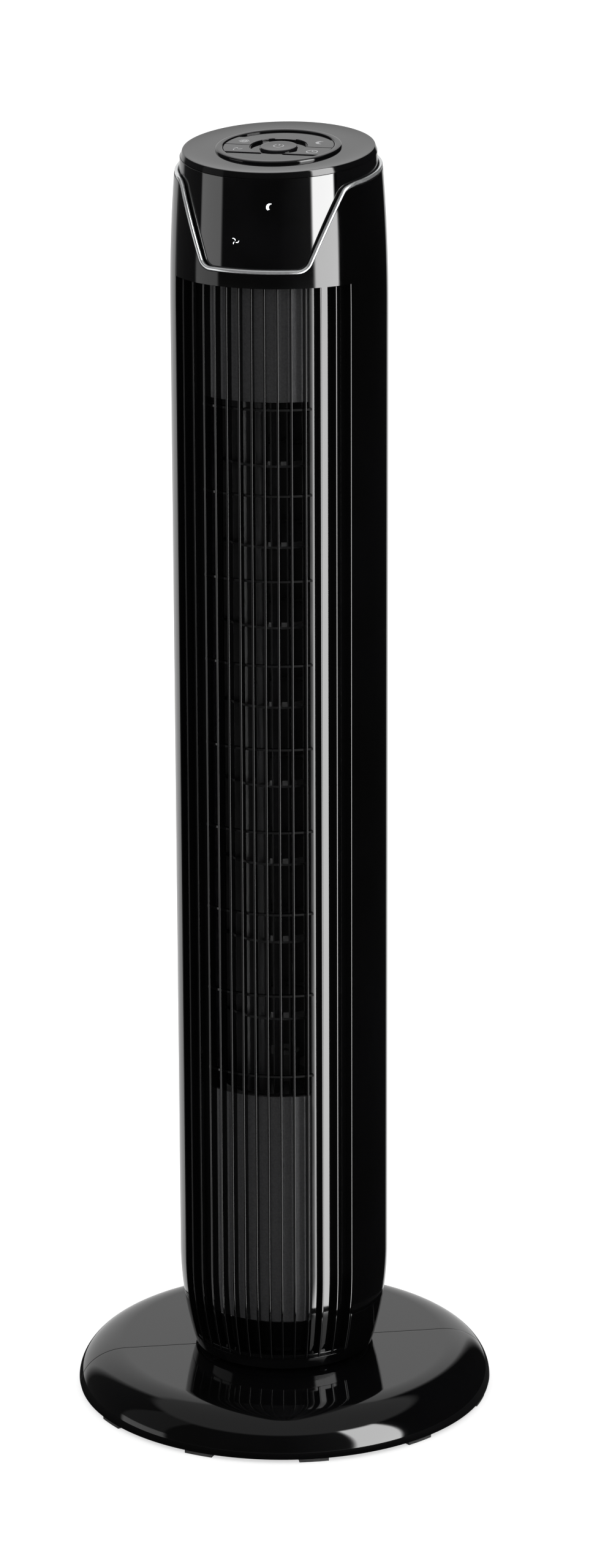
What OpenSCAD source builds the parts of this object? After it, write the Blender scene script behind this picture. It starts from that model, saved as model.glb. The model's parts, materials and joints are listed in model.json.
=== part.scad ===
// Oscillating tower fan on a round two-part base.
// Z is up, the origin is on the floor under the tower's axis, and the outlet faces -Y.
// Angles named phi are measured about Z from the front (-Y), positive towards +X.

/* [Tower] */
// Outer diameter of the tower column
tower_d = 150; // [140:1:180]
// Height of the tower's lowest edge above the floor
tower_low = 35.5; // [35:0.5:37]
// Height of the slanted rim plane on the axis
rim_z = 896; // [880:1:1080]
// Slope of the rim and of the control deck, in degrees
tilt = 6; // [4:0.5:8]
// Wall of the outer shells
wall = 2.5; // [2:0.1:3.2]
// Radius of the curve that draws the foot of the tower in
foot_curve = 250; // [220:5:400]
// Height over which the foot is drawn in
foot_rise = 71.5; // [60:0.5:75]
// Radius of the slight curve at the head of the tower
head_curve = 1200; // [1000:50:2000]
// Height below the rim at which that curve starts
head_drop = 96; // [80:1:100]

/* [Front grille] */
// Half of the angle that the front panel covers
front_phi = 56.5; // [54:0.5:60]
// Half of the angle that the air duct opens behind the fins
duct_phi = 32; // [28:0.5:36]
// Lower end of the fins
grille_low = 43.6; // [42:0.1:46]
// Height of the plain header between the fins and the rim plane
header_h = 71.5; // [66:0.5:90]
// Number of fins on each side of the middle one
fin_side = 6; // [5:1:6]
// Spacing of the fins across the front
fin_pitch = 9; // [8:0.1:10]
// Thickness of one fin
fin_t = 1.5; // [1.2:0.1:2]
// Depth of one fin
fin_depth = 6; // [5:0.5:7]
// Spacing of the cross ties behind the fins
tie_pitch = 60; // [50:1:80]

/* [Outlet window] */
// Lower edge of the outlet window
window_low = 244; // [235:1:260]
// Distance from the top of the window up to the fins' upper end
window_drop = 79.5; // [70:0.5:90]
// Lower edge of the panel below the window
panel_low = 72; // [70:1:90]

/* [Head] */
// Height at which the front cut-out of the shell starts, below the rim plane
notch_drop = 62; // [56:1:64]
// Half width of that cut-out at its bottom
notch_half = 37.3; // [34:0.1:42]
// Lean of its sides from vertical
notch_lean = 21.3; // [18:0.1:24]
// Width of the bright trim band
trim_w = 3; // [2:0.1:4]
// Radial depth of the trim band
trim_t = 3; // [2.5:0.1:3.5]
// Height of the control deck's edge plane above the rim plane
deck_rise = 12.5; // [11:0.5:16]
// Gap between the head pod and the trim band around it
pod_gap = 0.5; // [0.4:0.1:1]
// Outer radius of the raised ring around the buttons
ring_r = 43.3; // [42:0.1:46]
// Radius of the button plate
plate_r = 38; // [37:0.1:40]
// Radius of the power button
power_r = 12.8; // [11:0.1:14]
// Outer radius of the groove around the power button
groove_r = 19.2; // [18:0.1:20]
// Half depth of the pairs of side buttons
side_half = 18.5; // [16:0.5:21]
// Gap between a button and what is around it
button_gap = 0.3; // [0.3:0.05:0.5]
// Travel of a button
button_travel = 1; // [0.6:0.1:1.2]

/* [Base] */
// Diameter of the base
base_d = 300; // [280:1:360]
// Height of the base's flat top
base_top = 32; // [31:0.5:33]
// Width of the rounded shoulder
shoulder_w = 33; // [25:1:40]
// Angle of the base's front from the tower's front at rest
base_turn = 23; // [0:1:35]
// Height of the feet below the base's lip
foot_h = 2.5; // [2:0.1:3]
// Width of one foot
foot_w = 21; // [15:1:25]
// Radius of the cord inlet's bore
cord_r = 3.6; // [3:0.1:4.5]

/* [Swing drive] */
// Radius of the hollow pivot post
post_r = 22; // [20:0.5:24]
// Teeth that the whole swing gear would have
gear_teeth = 60; // [60:1:64]
// Teeth of the swing pinion
pinion_teeth = 12; // [12:1:14]
// Gear module
gear_m = 1; // [0.9:0.05:1.1]
// Radial running clearance of the pivot
pivot_play = 0.06; // [0.03:0.01:0.1]

/* [Blower] */
// Outer radius of the cross-flow impeller
wheel_r = 43; // [40:0.5:46]
// Number of blades
blades = 24; // [18:1:28]
// Number of segments between the impeller's discs
segments = 9; // [7:1:10]
// How far the impeller runs past each end of the window
wheel_past = 8; // [5:1:10]
// Radius of the motor shell
motor_r = 42; // [38:1:46]
// Radius of the motor shaft
shaft_r = 4; // [3:0.5:5]
// Radial running clearance of the bushes
bush_play = 0.04; // [0.02:0.01:0.08]

/* [Hidden] */
$fn = 96;

tower_r = tower_d / 2;
foot_curve_top = tower_low + foot_rise;
head_curve_low = rim_z - head_drop;
grille_high = rim_z - header_h;
window_high = grille_high - window_drop;
notch_z = rim_z - notch_drop;
deck_z = rim_z + deck_rise;
far = 400;

// The tower's outer radius at a height: a straight column between two arcs.
function arc_in(radius, rise) = radius - sqrt(radius * radius - rise * rise);
function outer_r(z) = tower_r
  - (z < foot_curve_top ? arc_in(foot_curve, foot_curve_top - z) : 0)
  - (z > head_curve_low ? arc_in(head_curve, z - head_curve_low) : 0);

// Heights at which a shell's outline has a point, between z0 and z1.
foot_steps = 10;
head_steps = 5;
stations = concat(
  [tower_low, (tower_low + grille_low) / 2],
  [for (i = [0:foot_steps]) grille_low + (foot_curve_top - grille_low) * i / foot_steps],
  [for (i = [0:head_steps]) head_curve_low + 1.15 * head_drop * i / head_steps]
);
function levels(z0, z1) = concat([z0], [for (z = stations) if (z > z0 + 0.5 && z < z1 - 0.5) z], [z1]);

// A sector of the tower's wall, between two depths below its outer surface.
module shell(z0, z1, depth_out, depth_in, phi0, phi1) {
  up = levels(z0, z1);
  rotate([0, 0, phi0 - 90])
    rotate_extrude(angle = phi1 - phi0, $fn = 180)
      polygon(concat(
        [for (z = up) [outer_r(z) - depth_out, z]],
        [for (i = [len(up) - 1:-1:0]) [outer_r(up[i]) - depth_in, up[i]]]
      ));
}

// Everything below a plane that crosses the axis at height h and slants up to the back.
module below(h) {
  translate([0, 0, h])
    rotate([tilt, 0, 0])
      translate([-far, -far, -far])
        cube([2 * far, 2 * far, far]);
}

module above(h) {
  translate([0, 0, h])
    rotate([tilt, 0, 0])
      translate([-far, -far, 0])
        cube([2 * far, 2 * far, far]);
}

// Outline of the front cut-out, drawn on X and Z and moved inwards by off.
notch_low_round = 10;
notch_top_round = 6;
corner_x = tower_r * sin(front_phi);
corner_y = sqrt(pow(outer_r(rim_z), 2) - corner_x * corner_x);
corner_lean = atan(tan(tilt) * corner_x / corner_y);
corner_z = rim_z - trim_w - tan(tilt) * corner_y;
notch_arc = 6;
low_t = notch_low_round * (1 - sin(notch_lean)) / cos(notch_lean);
low_c = [notch_half - notch_low_round * cos(notch_lean) + low_t * sin(notch_lean), notch_z + notch_low_round];
// The upper rounding's centre is notch_top_round outside the side and below the rim line.
side_p = [notch_half + notch_top_round * cos(notch_lean), notch_z - notch_top_round * sin(notch_lean)];
rim_p = [corner_x + notch_top_round * sin(corner_lean), corner_z - notch_top_round * cos(corner_lean)];
cross_d = sin(notch_lean) * sin(corner_lean) - cos(notch_lean) * cos(corner_lean);
cross_t = ((rim_p[0] - side_p[0]) * sin(corner_lean) - (rim_p[1] - side_p[1]) * cos(corner_lean)) / cross_d;
top_c = side_p + cross_t * [sin(notch_lean), cos(notch_lean)];

function low_arc(off) = [for (i = [0:notch_arc])
  let (a = -90 + (90 - notch_lean) * i / notch_arc)
  low_c + (notch_low_round - off) * [cos(a), sin(a)]];
function top_arc(off) = [for (i = [0:notch_arc])
  let (a = 180 - notch_lean - (90 - notch_lean - corner_lean) * i / notch_arc)
  top_c + (notch_top_round + off) * [cos(a), sin(a)]];
function rim_run(off) = let (p = top_arc(off)[notch_arc], run = 60)
  [p + run * [cos(corner_lean), sin(corner_lean)], [p[0] + run, p[1] + run]];
function notch_half_outline(off) = concat(low_arc(off), top_arc(off), rim_run(off));
function mirrored(points) = [for (i = [len(points) - 1:-1:0]) [-points[i][0], points[i][1]]];

notch_back = 30;
module notch(off) {
  right = notch_half_outline(off);
  translate([0, -notch_back, 0])
    rotate([90, 0, 0])
      linear_extrude(far)
        polygon(concat(right, mirrored(right)));
}

module round_plate(r, z0, z1) {
  translate([0, 0, z0])
    cylinder(r = r, h = z1 - z0);
}

module ring(r_in, r_out, z0, z1) {
  difference() {
    round_plate(r_out, z0, z1);
    round_plate(r_in, z0 - 1, z1 + 1);
  }
}

// A screw that points down from a head whose underside is at height 0.
module screw(shank_r, shank_l, head_r, head_h) {
  translate([0, 0, -shank_l])
    cylinder(r = shank_r, h = shank_l, $fn = 24);
  cylinder(r = head_r, h = head_h, $fn = 24);
}

// ---- base ----
lip_h = 2.5;
lip_top = foot_h + lip_h;
lip_w = 14;
lip_inset = 0.6;
rib_t = 2;
rib_count = 10;
rib_h = 14;
// Self-tapping screws of one size hold most of the fan together.
screw_r = 1.75;
screw_hole_r = 1.95;
base_r = base_d / 2;
flange_r = 60;
flange_t = 3;
boss_r = 48;
seat_play = 0.2;
base_screw_at = 54;
base_screw_count = 6;
base_screw_depth = wall - 0.6;
base_head_r = 3.6;
base_head_h = 2;
arc_points = 12;
foot_phis = [0, 32.5, 65.5, -32.5, -65.5];

function shoulder(inset) = [for (i = [0:arc_points])
  let (a = 90 * i / arc_points)
  [base_r - shoulder_w + (shoulder_w - inset) * cos(a), lip_top + (base_top - lip_top - inset) * sin(a)]];

module base_ring() {
  outer = shoulder(0);
  inner = shoulder(wall);
  difference() {
    union() {
      rotate_extrude($fn = 180)
        polygon(concat(
          [[base_r - lip_inset, foot_h]],
          outer,
          [[boss_r + seat_play, base_top], [boss_r + seat_play, base_top - wall]],
          [for (i = [arc_points:-1:0]) inner[i]],
          [[base_r - wall - lip_w, lip_top], [base_r - wall - lip_w, foot_h]]
        ));
      for (i = [0:rib_count - 1])
        rotate([0, 0, 360 * (i + 0.5) / rib_count])
          translate([flange_r + 3, -rib_t / 2, base_top - wall - rib_h])
            cube([base_r - shoulder_w - flange_r, rib_t, rib_h + 0.5]);
    }
    for (i = [0:base_screw_count - 1])
      rotate([0, 0, 360 * (i + 0.5) / base_screw_count])
        translate([base_screw_at, 0, base_top - wall - 1])
          cylinder(r = screw_r, h = base_screw_depth + 1, $fn = 24);
    rotate([0, 0, 90])
      translate([base_r - 20, 0, grommet_z])
        rotate([0, 90, 0])
          cylinder(r = grommet_r, h = 30, $fn = 48);
  }
}

grommet_z = 12.5;
grommet_r = 6;
grommet_l = 12;
grommet_out = 1;
grommet_flange = 1.2;
seam_gap = 0.1;

module base_side(front) {
  rotate([0, 0, base_turn])
    intersection() {
      base_ring();
      translate([-far, front ? -far : seam_gap / 2, -1])
        cube([2 * far, far - seam_gap / 2, base_top + 2]);
    }
}

module base_front_half() color("#101012") base_side(true);
module base_rear_half() color("#101012") base_side(false);

module base_screws() color("silver")
  rotate([0, 0, base_turn])
    for (i = [0:base_screw_count - 1])
      rotate([0, 0, 360 * (i + 0.5) / base_screw_count])
        translate([base_screw_at, 0, base_top - wall - flange_t])
          rotate([180, 0, 0])
            screw(screw_r, flange_t + base_screw_depth - 0.1, base_head_r, base_head_h);

module foot_pad() {
  intersection() {
    ring(base_r - wall - lip_w + 2, base_r - 1.5, 0, foot_h);
    translate([-foot_w / 2, -base_r, 0])
      cube([foot_w, base_r / 2, foot_h]);
  }
}

module rubber_feet() color("#1a1a1a")
  rotate([0, 0, base_turn])
    for (half = [0, 180])
      for (phi = foot_phis)
        rotate([0, 0, half + phi])
          foot_pad();

module cord_grommet() color("#1a1a1a")
  rotate([0, 0, base_turn + 90])
    translate([base_r - grommet_l + grommet_out, 0, grommet_z])
      rotate([0, 90, 0])
        difference() {
          union() {
            cylinder(r = grommet_r, h = grommet_l, $fn = 48);
            translate([0, 0, grommet_l - grommet_flange])
              cylinder(r = grommet_r + grommet_flange, h = grommet_flange, $fn = 48);
          }
          translate([0, 0, -1])
            cylinder(r = cord_r, h = grommet_l + 2, $fn = 48);
        }

// ---- pivot ----
boss_top = base_top + 1.3;
slide_t = 1.2;
hub_low = boss_top + slide_t + 0.3;
hub_top = hub_low + 5.7;
hub_out = boss_r - 2;
clip_low = hub_top + 0.3;
clip_t = 1.5;
clip_groove = 1.5;
clip_out = 4.5;
clip_slot = 12;
gear_low = clip_low + clip_t + 0.7;
gear_t = 5;
post_top = gear_low + gear_t + 2;
post_bore = post_r - 6;

module pivot_post() color("#2a2a2c")
  rotate([0, 0, base_turn])
    difference() {
      union() {
        round_plate(flange_r, base_top - wall - flange_t, base_top - wall);
        round_plate(boss_r, base_top - wall - 0.5, boss_top);
        round_plate(post_r, boss_top - 1, post_top);
      }
      round_plate(post_bore, 0, far);
      ring(post_r - clip_groove, post_r + clip_out, clip_low, clip_low + clip_t);
      for (i = [0:base_screw_count - 1])
        rotate([0, 0, 360 * (i + 0.5) / base_screw_count])
          translate([base_screw_at, 0, 0])
            cylinder(r = screw_hole_r, h = base_top - wall + 0.2, $fn = 24);
    }

module slide_ring() color("ivory")
  ring(post_r + 8, hub_out, boss_top, boss_top + slide_t);

module pivot_clip() color("silver")
  difference() {
    ring(post_r - clip_groove, post_r + clip_out, clip_low, clip_low + clip_t);
    translate([-clip_slot / 2, 0, clip_low - 1])
      cube([clip_slot, far, clip_t + 2]);
  }

// ---- gears ----
pressure = 25;
backlash = 0.2;
// The flanks start this far above the root circle.
tooth_foot = 0.25;
gear_r = gear_m * gear_teeth / 2;
pinion_r = gear_m * pinion_teeth / 2;
gear_axis = gear_r + pinion_r + 0.1;
swing_low = -17;
swing_high = 63;
gear_spare = 15;
// Direction from the axis to the swing drive, which sits at the back.
drive_turn = 90;

function inv_deg(a) = (tan(a) - a * PI / 180) * 180 / PI;
function pressure_at(rb, r) = r <= rb ? 0 : acos(rb / r);
function half_tooth(teeth, rp, r) =
  (90 / teeth - 90 * backlash / (PI * rp)) + inv_deg(pressure) - inv_deg(pressure_at(rp * cos(pressure), r));
function tooth_side(teeth, rp, root, tip, steps) = [for (i = [0:steps])
  let (r = root + (tip - root) * i / steps)
  [r, half_tooth(teeth, rp, r)]];
function polar(r, a) = r * [cos(a), sin(a)];
function tooth(teeth, rp, a, root, tip) =
  let (side = tooth_side(teeth, rp, root + tooth_foot, tip, 5)) concat(
  [polar(root - 0.6, a - side[0][1])],
  [for (p = side) polar(p[0], a - p[1])],
  [for (i = [len(side) - 1:-1:0]) polar(side[i][0], a + side[i][1])],
  [polar(root - 0.6, a + side[0][1])]
);

module swing_gear() color("ivory")
  rotate([0, 0, drive_turn])
    translate([0, 0, gear_low])
      difference() {
        union() {
          cylinder(r = gear_r - 1.2 * gear_m, h = gear_t);
          linear_extrude(gear_t)
            for (i = [0:gear_teeth - 1])
              let (a = 360 * (i + 0.5) / gear_teeth, b = a > 180 ? a - 360 : a)
                if (b > swing_low - gear_spare && b < swing_high + gear_spare)
                  polygon(tooth(gear_teeth, gear_r, a, gear_r - 1.2 * gear_m, gear_r + 0.85 * gear_m));
        }
        translate([0, 0, -1])
          cylinder(r = post_r, h = gear_t + 2);
      }

pinion_bore = 2.5;
pinion_t = gear_t - 1;

module swing_pinion() color("ivory")
  rotate([0, 0, drive_turn])
    translate([gear_axis, 0, gear_low + 0.5])
      difference() {
        linear_extrude(pinion_t)
          union() {
            circle(r = pinion_r - 1.2 * gear_m);
            for (i = [0:pinion_teeth - 1])
              polygon(tooth(pinion_teeth, pinion_r, 180 + 360 * i / pinion_teeth,
                            pinion_r - 1.2 * gear_m, pinion_r + 0.85 * gear_m));
          }
        translate([0, 0, -1])
          cylinder(r = pinion_bore, h = pinion_t + 2, $fn = 32);
      }

// ---- tower foot ----
plate_low = tower_low + 0.5;
plate_t = 3;
plate_top = plate_low + plate_t;
plate_edge = outer_r(tower_low) - wall - 0.3;
housing_phi = 112;
post_in = 12;
post_half = 6;
post_at_r = plate_edge - 1.5;
pad_r = 4.5;
screw_low_z = 92;
pad_out = outer_r(screw_low_z - pad_r) - wall - seat_play;
housing_low = 74;
skirt_top = 82;
skirt_tuck = 0.2;
plate_screw_at = plate_edge - 5;
plate_head_r = 3;
plate_head_h = 1.4;
swing_motor_r = 21;
swing_motor_x = gear_axis + 5;
swing_motor_low = post_top + 2;
swing_motor_h = 18;
ear_y = 27;
ear_r = 4;

module bottom_plate() color("#202022")
  difference() {
    union() {
      round_plate(plate_edge, plate_low, plate_top);
      round_plate(hub_out, hub_low, hub_top);
      for (side = [-1, 1])
        rotate([0, 0, side * housing_phi]) {
          translate([-post_half, -post_at_r, plate_low])
            cube([2 * post_half, post_in, screw_low_z + post_half - plate_low]);
          translate([0, -post_at_r + 2, screw_low_z])
            rotate([90, 0, 0])
              cylinder(r = pad_r, h = pad_out - post_at_r + 2, $fn = 32);
        }
      rotate([0, 0, drive_turn])
        for (side = [-1, 1])
          translate([swing_motor_x, side * ear_y, plate_low])
            cylinder(r = ear_r, h = swing_motor_low - plate_low, $fn = 32);
    }
    round_plate(post_r + pivot_play, 0, 2 * hub_top);
    for (side = [-1, 1]) {
      rotate([0, 0, side * housing_phi])
        translate([0, -tower_r, screw_low_z])
          rotate([-90, 0, 0])
            cylinder(r = screw_r, h = 16, $fn = 24);
      rotate([0, 0, drive_turn])
        translate([swing_motor_x, side * ear_y, swing_motor_low - 9])
          cylinder(r = screw_r, h = 10, $fn = 24);
    }
    for (i = [0:3])
      rotate([0, 0, 45 + 90 * i])
        translate([0, -plate_screw_at, plate_low - 1])
          cylinder(r = screw_hole_r, h = plate_t + 2, $fn = 24);
  }

skirt_lip_t = 2.5;
skirt_lip_w = 8;
kick_phi = front_phi - 1;
// The skirt's upper edge steps in and goes up behind the housing's wall.
tongue_z = housing_low - 0.5;
tongue_low = housing_low - 6;
tongue_r = outer_r(housing_low) - wall - skirt_tuck;

module skirt_wall() {
  outer = levels(tower_low, tongue_z);
  inner = levels(tower_low, tongue_low);
  rotate([0, 0, 90])
    rotate_extrude(angle = 360, $fn = 180)
      polygon(concat(
        [for (z = outer) [outer_r(z), z]],
        [[tongue_r, tongue_z], [tongue_r, skirt_top]],
        [[tongue_r - wall, skirt_top], [tongue_r - wall, tongue_low]],
        [for (i = [len(inner) - 1:-1:0]) [outer_r(inner[i]) - wall, inner[i]]]
      ));
}

module lower_skirt() color("#101012")
  difference() {
    union() {
      difference() {
        skirt_wall();
        shell(grille_low, skirt_top + 1, -1, fin_depth + backing_t, -front_phi, front_phi);
      }
      ring(plate_edge - skirt_lip_w, outer_r(plate_top) - wall / 2, plate_top, plate_top + skirt_lip_t);
      shell(plate_top + 1, panel_low, frame_out, frame_out + frame_t, -kick_phi, kick_phi);
    }
    for (side = [-1, 1])
      rotate([0, 0, side * housing_phi])
        translate([-post_half - seat_play, -post_at_r - seat_play, plate_low])
          cube([2 * (post_half + seat_play), post_in + 2 * seat_play, far]);
    for (i = [0:3])
      rotate([0, 0, 45 + 90 * i])
        translate([0, -plate_screw_at, plate_top - 1])
          cylinder(r = screw_r, h = skirt_lip_t + 2, $fn = 24);
  }

module plate_screws() color("silver")
  for (i = [0:3])
    rotate([0, 0, 45 + 90 * i])
      translate([0, -plate_screw_at, plate_low])
        rotate([180, 0, 0])
          screw(screw_r, plate_t + skirt_lip_t, plate_head_r, plate_head_h);

// ---- front panel ----
backing_t = 2;
shelf_t = 2;
border_phi = 1.3;
tab_phi = 3;
// How far the fins, the bar and the ties sink into the backing.
fin_sink = 0.6;
bar_sink = 0.8;
tie_sink = 1.3;
tie_t = 1.5;
tie_h = 1.5;
tie_low = window_low + 15.6;
tab_pitch = 170;
tab_h = 14;
bar_h = 3;

module fins() {
  intersection() {
    shell(grille_low, grille_high, 0, fin_depth + fin_sink, -front_phi, front_phi);
    for (k = [-fin_side:fin_side])
      rotate([0, 0, asin(k * fin_pitch / tower_r)])
        translate([-fin_t / 2, -tower_r - 1, 0])
          cube([fin_t, tower_r / 2, far * 3]);
  }
}

module front_panel() color("#101012")
  union() {
    difference() {
      union() {
        shell(grille_high, rim_z + head_drop * 0.1, 0, wall, -front_phi, front_phi);
        shell(grille_high, grille_high + shelf_t, wall / 2, fin_depth + backing_t, -front_phi, front_phi);
      }
      above(rim_z - trim_w);
      notch(0);
    }
    for (side = [-1, 1]) {
      from = side < 0 ? -front_phi : duct_phi;
      shell(grille_low, grille_high, fin_depth, fin_depth + backing_t, from, from + front_phi - duct_phi);
      edge = side < 0 ? -front_phi : front_phi - border_phi;
      shell(grille_low, grille_high, 0, fin_depth + 1, edge, edge + border_phi);
      tab = side < 0 ? -front_phi - tab_phi : front_phi - 1;
      for (z = [panel_low + 40:tab_pitch:grille_high - 20])
        shell(z, z + tab_h, wall + 0.3, fin_depth, tab, tab + tab_phi + 1);
    }
    shell(grille_low, grille_low + bar_h, bar_sink, fin_depth + bar_sink, -front_phi + 0.5, front_phi - 0.5);
    fins();
    for (z = [tie_low:tie_pitch:window_high])
      shell(z, z + tie_h, fin_depth - tie_t, fin_depth + tie_sink, -duct_phi - 1, duct_phi + 1);
  }

// ---- rear housing ----
intake_phi = 62;
intake_low = 200;
intake_drop = 34;
intake_high = grille_high - intake_drop;
housing_round = 10;
housing_round_in = 1.7;
screw_head_r = 3.5;
screw_head_h = 1.4;
sunk = 1.7;
plate_gap = 7;
end_t = 3;
lower_end_top = window_low - wheel_past - plate_gap;
upper_end_low = window_high + wheel_past + plate_gap;
housing_screw_l = 11;
screw_levels = [screw_low_z, lower_end_top - end_t / 2, upper_end_low + end_t / 2];

module housing_hole() {
  rotate([-90, 0, 0]) {
    cylinder(r = screw_head_r + 0.3, h = sunk, $fn = 32);
    cylinder(r = screw_r + 0.15, h = 8, $fn = 24);
  }
}

module rear_housing() color("#101012")
  difference() {
    shell(housing_low, rim_z + head_drop * 0.1, 0, wall, front_phi, 360 - front_phi);
    above(rim_z - trim_w);
    notch(0);
    // Rounds the lower edge.
    rotate_extrude($fn = 180)
      polygon(concat(
        [[tower_r + 5, housing_low - 1], [tower_r - housing_round_in, housing_low - 1]],
        [for (i = [0:6]) let (a = 90 * i / 6)
          [tower_r - housing_round_in * (1 - sin(a)), housing_low + housing_round * (1 - cos(a))]],
        [[tower_r + 5, housing_low + housing_round]]
      ));
    shell(intake_low, intake_high, -1, wall + 1, 180 - intake_phi, 180 + intake_phi);
    for (side = [-1, 1])
      for (z = screw_levels)
        rotate([0, 0, side * housing_phi])
          translate([0, -tower_r, z])
            housing_hole();
  }

intake_fins = 23;
intake_fin_t = 1.6;
intake_frame_phi = 2.5;
intake_frame_h = 6;
intake_depth = 4.5;
intake_rings = 13;

module intake_grille() color("#161618")
  union() {
    difference() {
      shell(intake_low, intake_high, 0.2, intake_depth, 180 - intake_phi, 180 + intake_phi);
      shell(intake_low + intake_frame_h, intake_high - intake_frame_h, -1, intake_depth + 1,
            180 - intake_phi + intake_frame_phi, 180 + intake_phi - intake_frame_phi);
    }
    intersection() {
      shell(intake_low + 1, intake_high - 1, 0.6, intake_depth - 0.3,
            180 - intake_phi + 1, 180 + intake_phi - 1);
      for (i = [1:intake_fins])
        rotate([0, 0, 180 - intake_phi + 2 * intake_phi * i / (intake_fins + 1)])
          translate([-intake_fin_t / 2, -tower_r - 1, 0])
            cube([intake_fin_t, tower_r / 2, far * 3]);
    }
    for (i = [1:intake_rings])
      let (z = intake_low + (intake_high - intake_low) * i / (intake_rings + 1))
        shell(z - intake_fin_t / 2, z + intake_fin_t / 2, 1.5, intake_depth - 0.6,
              180 - intake_phi + 1, 180 + intake_phi - 1);
  }

module housing_screws() color("silver")
  for (side = [-1, 1])
    for (z = screw_levels)
      rotate([0, 0, side * housing_phi])
        translate([0, -tower_r + sunk, z])
          rotate([90, 0, 0])
            screw(screw_r, housing_screw_l, screw_head_r, screw_head_h);

module trim_ring() color("gainsboro")
  difference() {
    intersection() {
      shell(notch_z - 1, rim_z + head_drop * 0.14, 0, trim_t, 0, 360);
      below(rim_z);
    }
    notch(trim_w);
    difference() {
      below(rim_z - trim_w);
      notch(0);
    }
  }

// ---- head ----
pod_low = grille_high + shelf_t + 1.5;
pod_wall = 2.2;
// Gap between the head's upper edge and the deck.
deck_seat = 0.05;
pod_low_r = outer_r(notch_z) - trim_t - pod_gap;
pod_high = deck_z + 8;
pod_high_r = outer_r(rim_z) - trim_t - pod_gap - 0.8;
bevel_h = 4;
bevel_w = 1.7;
window_t = 1.5;
window_phi = 50;
lens_low = notch_z + 1;
lens_high = deck_z - bevel_h;
head_top = deck_z - bevel_h / cos(tilt) - deck_seat;
leg_at = 48;
leg_r = 5;
loom_window = 15;

function pod_r(z) = pod_low_r + (pod_high_r - pod_low_r) * (z - pod_low) / (pod_high - pod_low);

module pod_cone(z0, z1, inset) {
  translate([0, 0, z0])
    cylinder(r1 = pod_r(z0) - inset, r2 = pod_r(z1) - inset, h = z1 - z0, $fn = 180);
}

module lens_sector(z0, z1, phi, t_out, t_in) {
  rotate([0, 0, -phi - 90])
    rotate_extrude(angle = 2 * phi, $fn = 180)
      polygon([
        [pod_r(z0) - t_out, z0], [pod_r(z1) - t_out, z1],
        [pod_r(z1) - t_in, z1], [pod_r(z0) - t_in, z0]
      ]);
}

module head_shell() color("#0c0c0e")
  difference() {
    union() {
      difference() {
        pod_cone(pod_low, pod_high, 0);
        pod_cone(pod_low + 2, pod_high + 1, pod_wall);
      }
      for (i = [0:3])
        rotate([0, 0, 45 + 90 * i])
          translate([0, -leg_at, upper_end_low + end_t])
            cylinder(r = leg_r, h = pod_low + 1 - upper_end_low - end_t, $fn = 32);
    }
    above(head_top);
    round_plate(loom_window, 0, pod_low + 5);
    lens_sector(lens_low - 0.1, lens_high + 1, window_phi + 0.1, -1, window_t);
  }

module display_window() color("#141418")
  difference() {
    lens_sector(lens_low, lens_high, window_phi, 0, window_t);
    above(head_top);
  }

board_y = -53;
board_t = 1.6;
board_half = 30;
board_low = notch_z + 8;
board_high = notch_z + 50;

module display_board() color("darkgreen")
  translate([-board_half, board_y, board_low])
    cube([2 * board_half, board_t, board_high - board_low]);

led_pitch = 7;
led_side = 2;
led_size = 3;
led_t = 2;
led_levels = [notch_z + 20, notch_z + 45];

module display_leds() color("white")
  for (k = [-led_side:led_side])
    for (z = led_levels)
      translate([k * led_pitch - led_size / 2, board_y - led_t, z - led_size / 2])
        cube([led_size, led_t, led_size]);

ir_size = 6;
ir_t = 3;
ir_x = 22;
ir_z = notch_z + 30;

module ir_receiver() color("#301018")
  translate([ir_x, board_y, ir_z])
    rotate([90, 0, 0])
      union() {
        translate([-ir_size / 2, -ir_size / 2, 0])
          cube([ir_size, ir_size, ir_t]);
        translate([0, 0, ir_t - 1])
          cylinder(r = 0.4 * ir_size, h = ir_t, $fn = 32);
      }

// Places its children in the slanted deck's own frame.
module on_deck() {
  translate([0, 0, deck_z])
    rotate([tilt, 0, 0])
      children();
}

deck_edge_r = pod_r(deck_z - bevel_h) - 0.1;
deck_dish = 0.6;
spigot_h = 2;
spigot_t = 1.8;
// The deck leans while the head doesn't, so its spigot has room in the head.
spigot_r = deck_edge_r - pod_wall - 0.8;
deck_t = 2.2;
ring_low = -deck_dish;
ring_top = 1.8;
lip_in = plate_r - 3;
lip_low = -4.6;
plate_t_deck = 2.5;
board_r = 44;
post_at = 40.5;
pcb_t = 1.6;
pcb_top = -10.4;
switch_h = 3.5;
plunger_h = 0.6;
switch_size = 6;
plunger_r = 1.7;
stem_r = 2;
board_screw_r = 1.2;
deck_post_r = 3;
stem_low = pcb_top + switch_h + plunger_h + 0.3 + button_travel;

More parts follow.
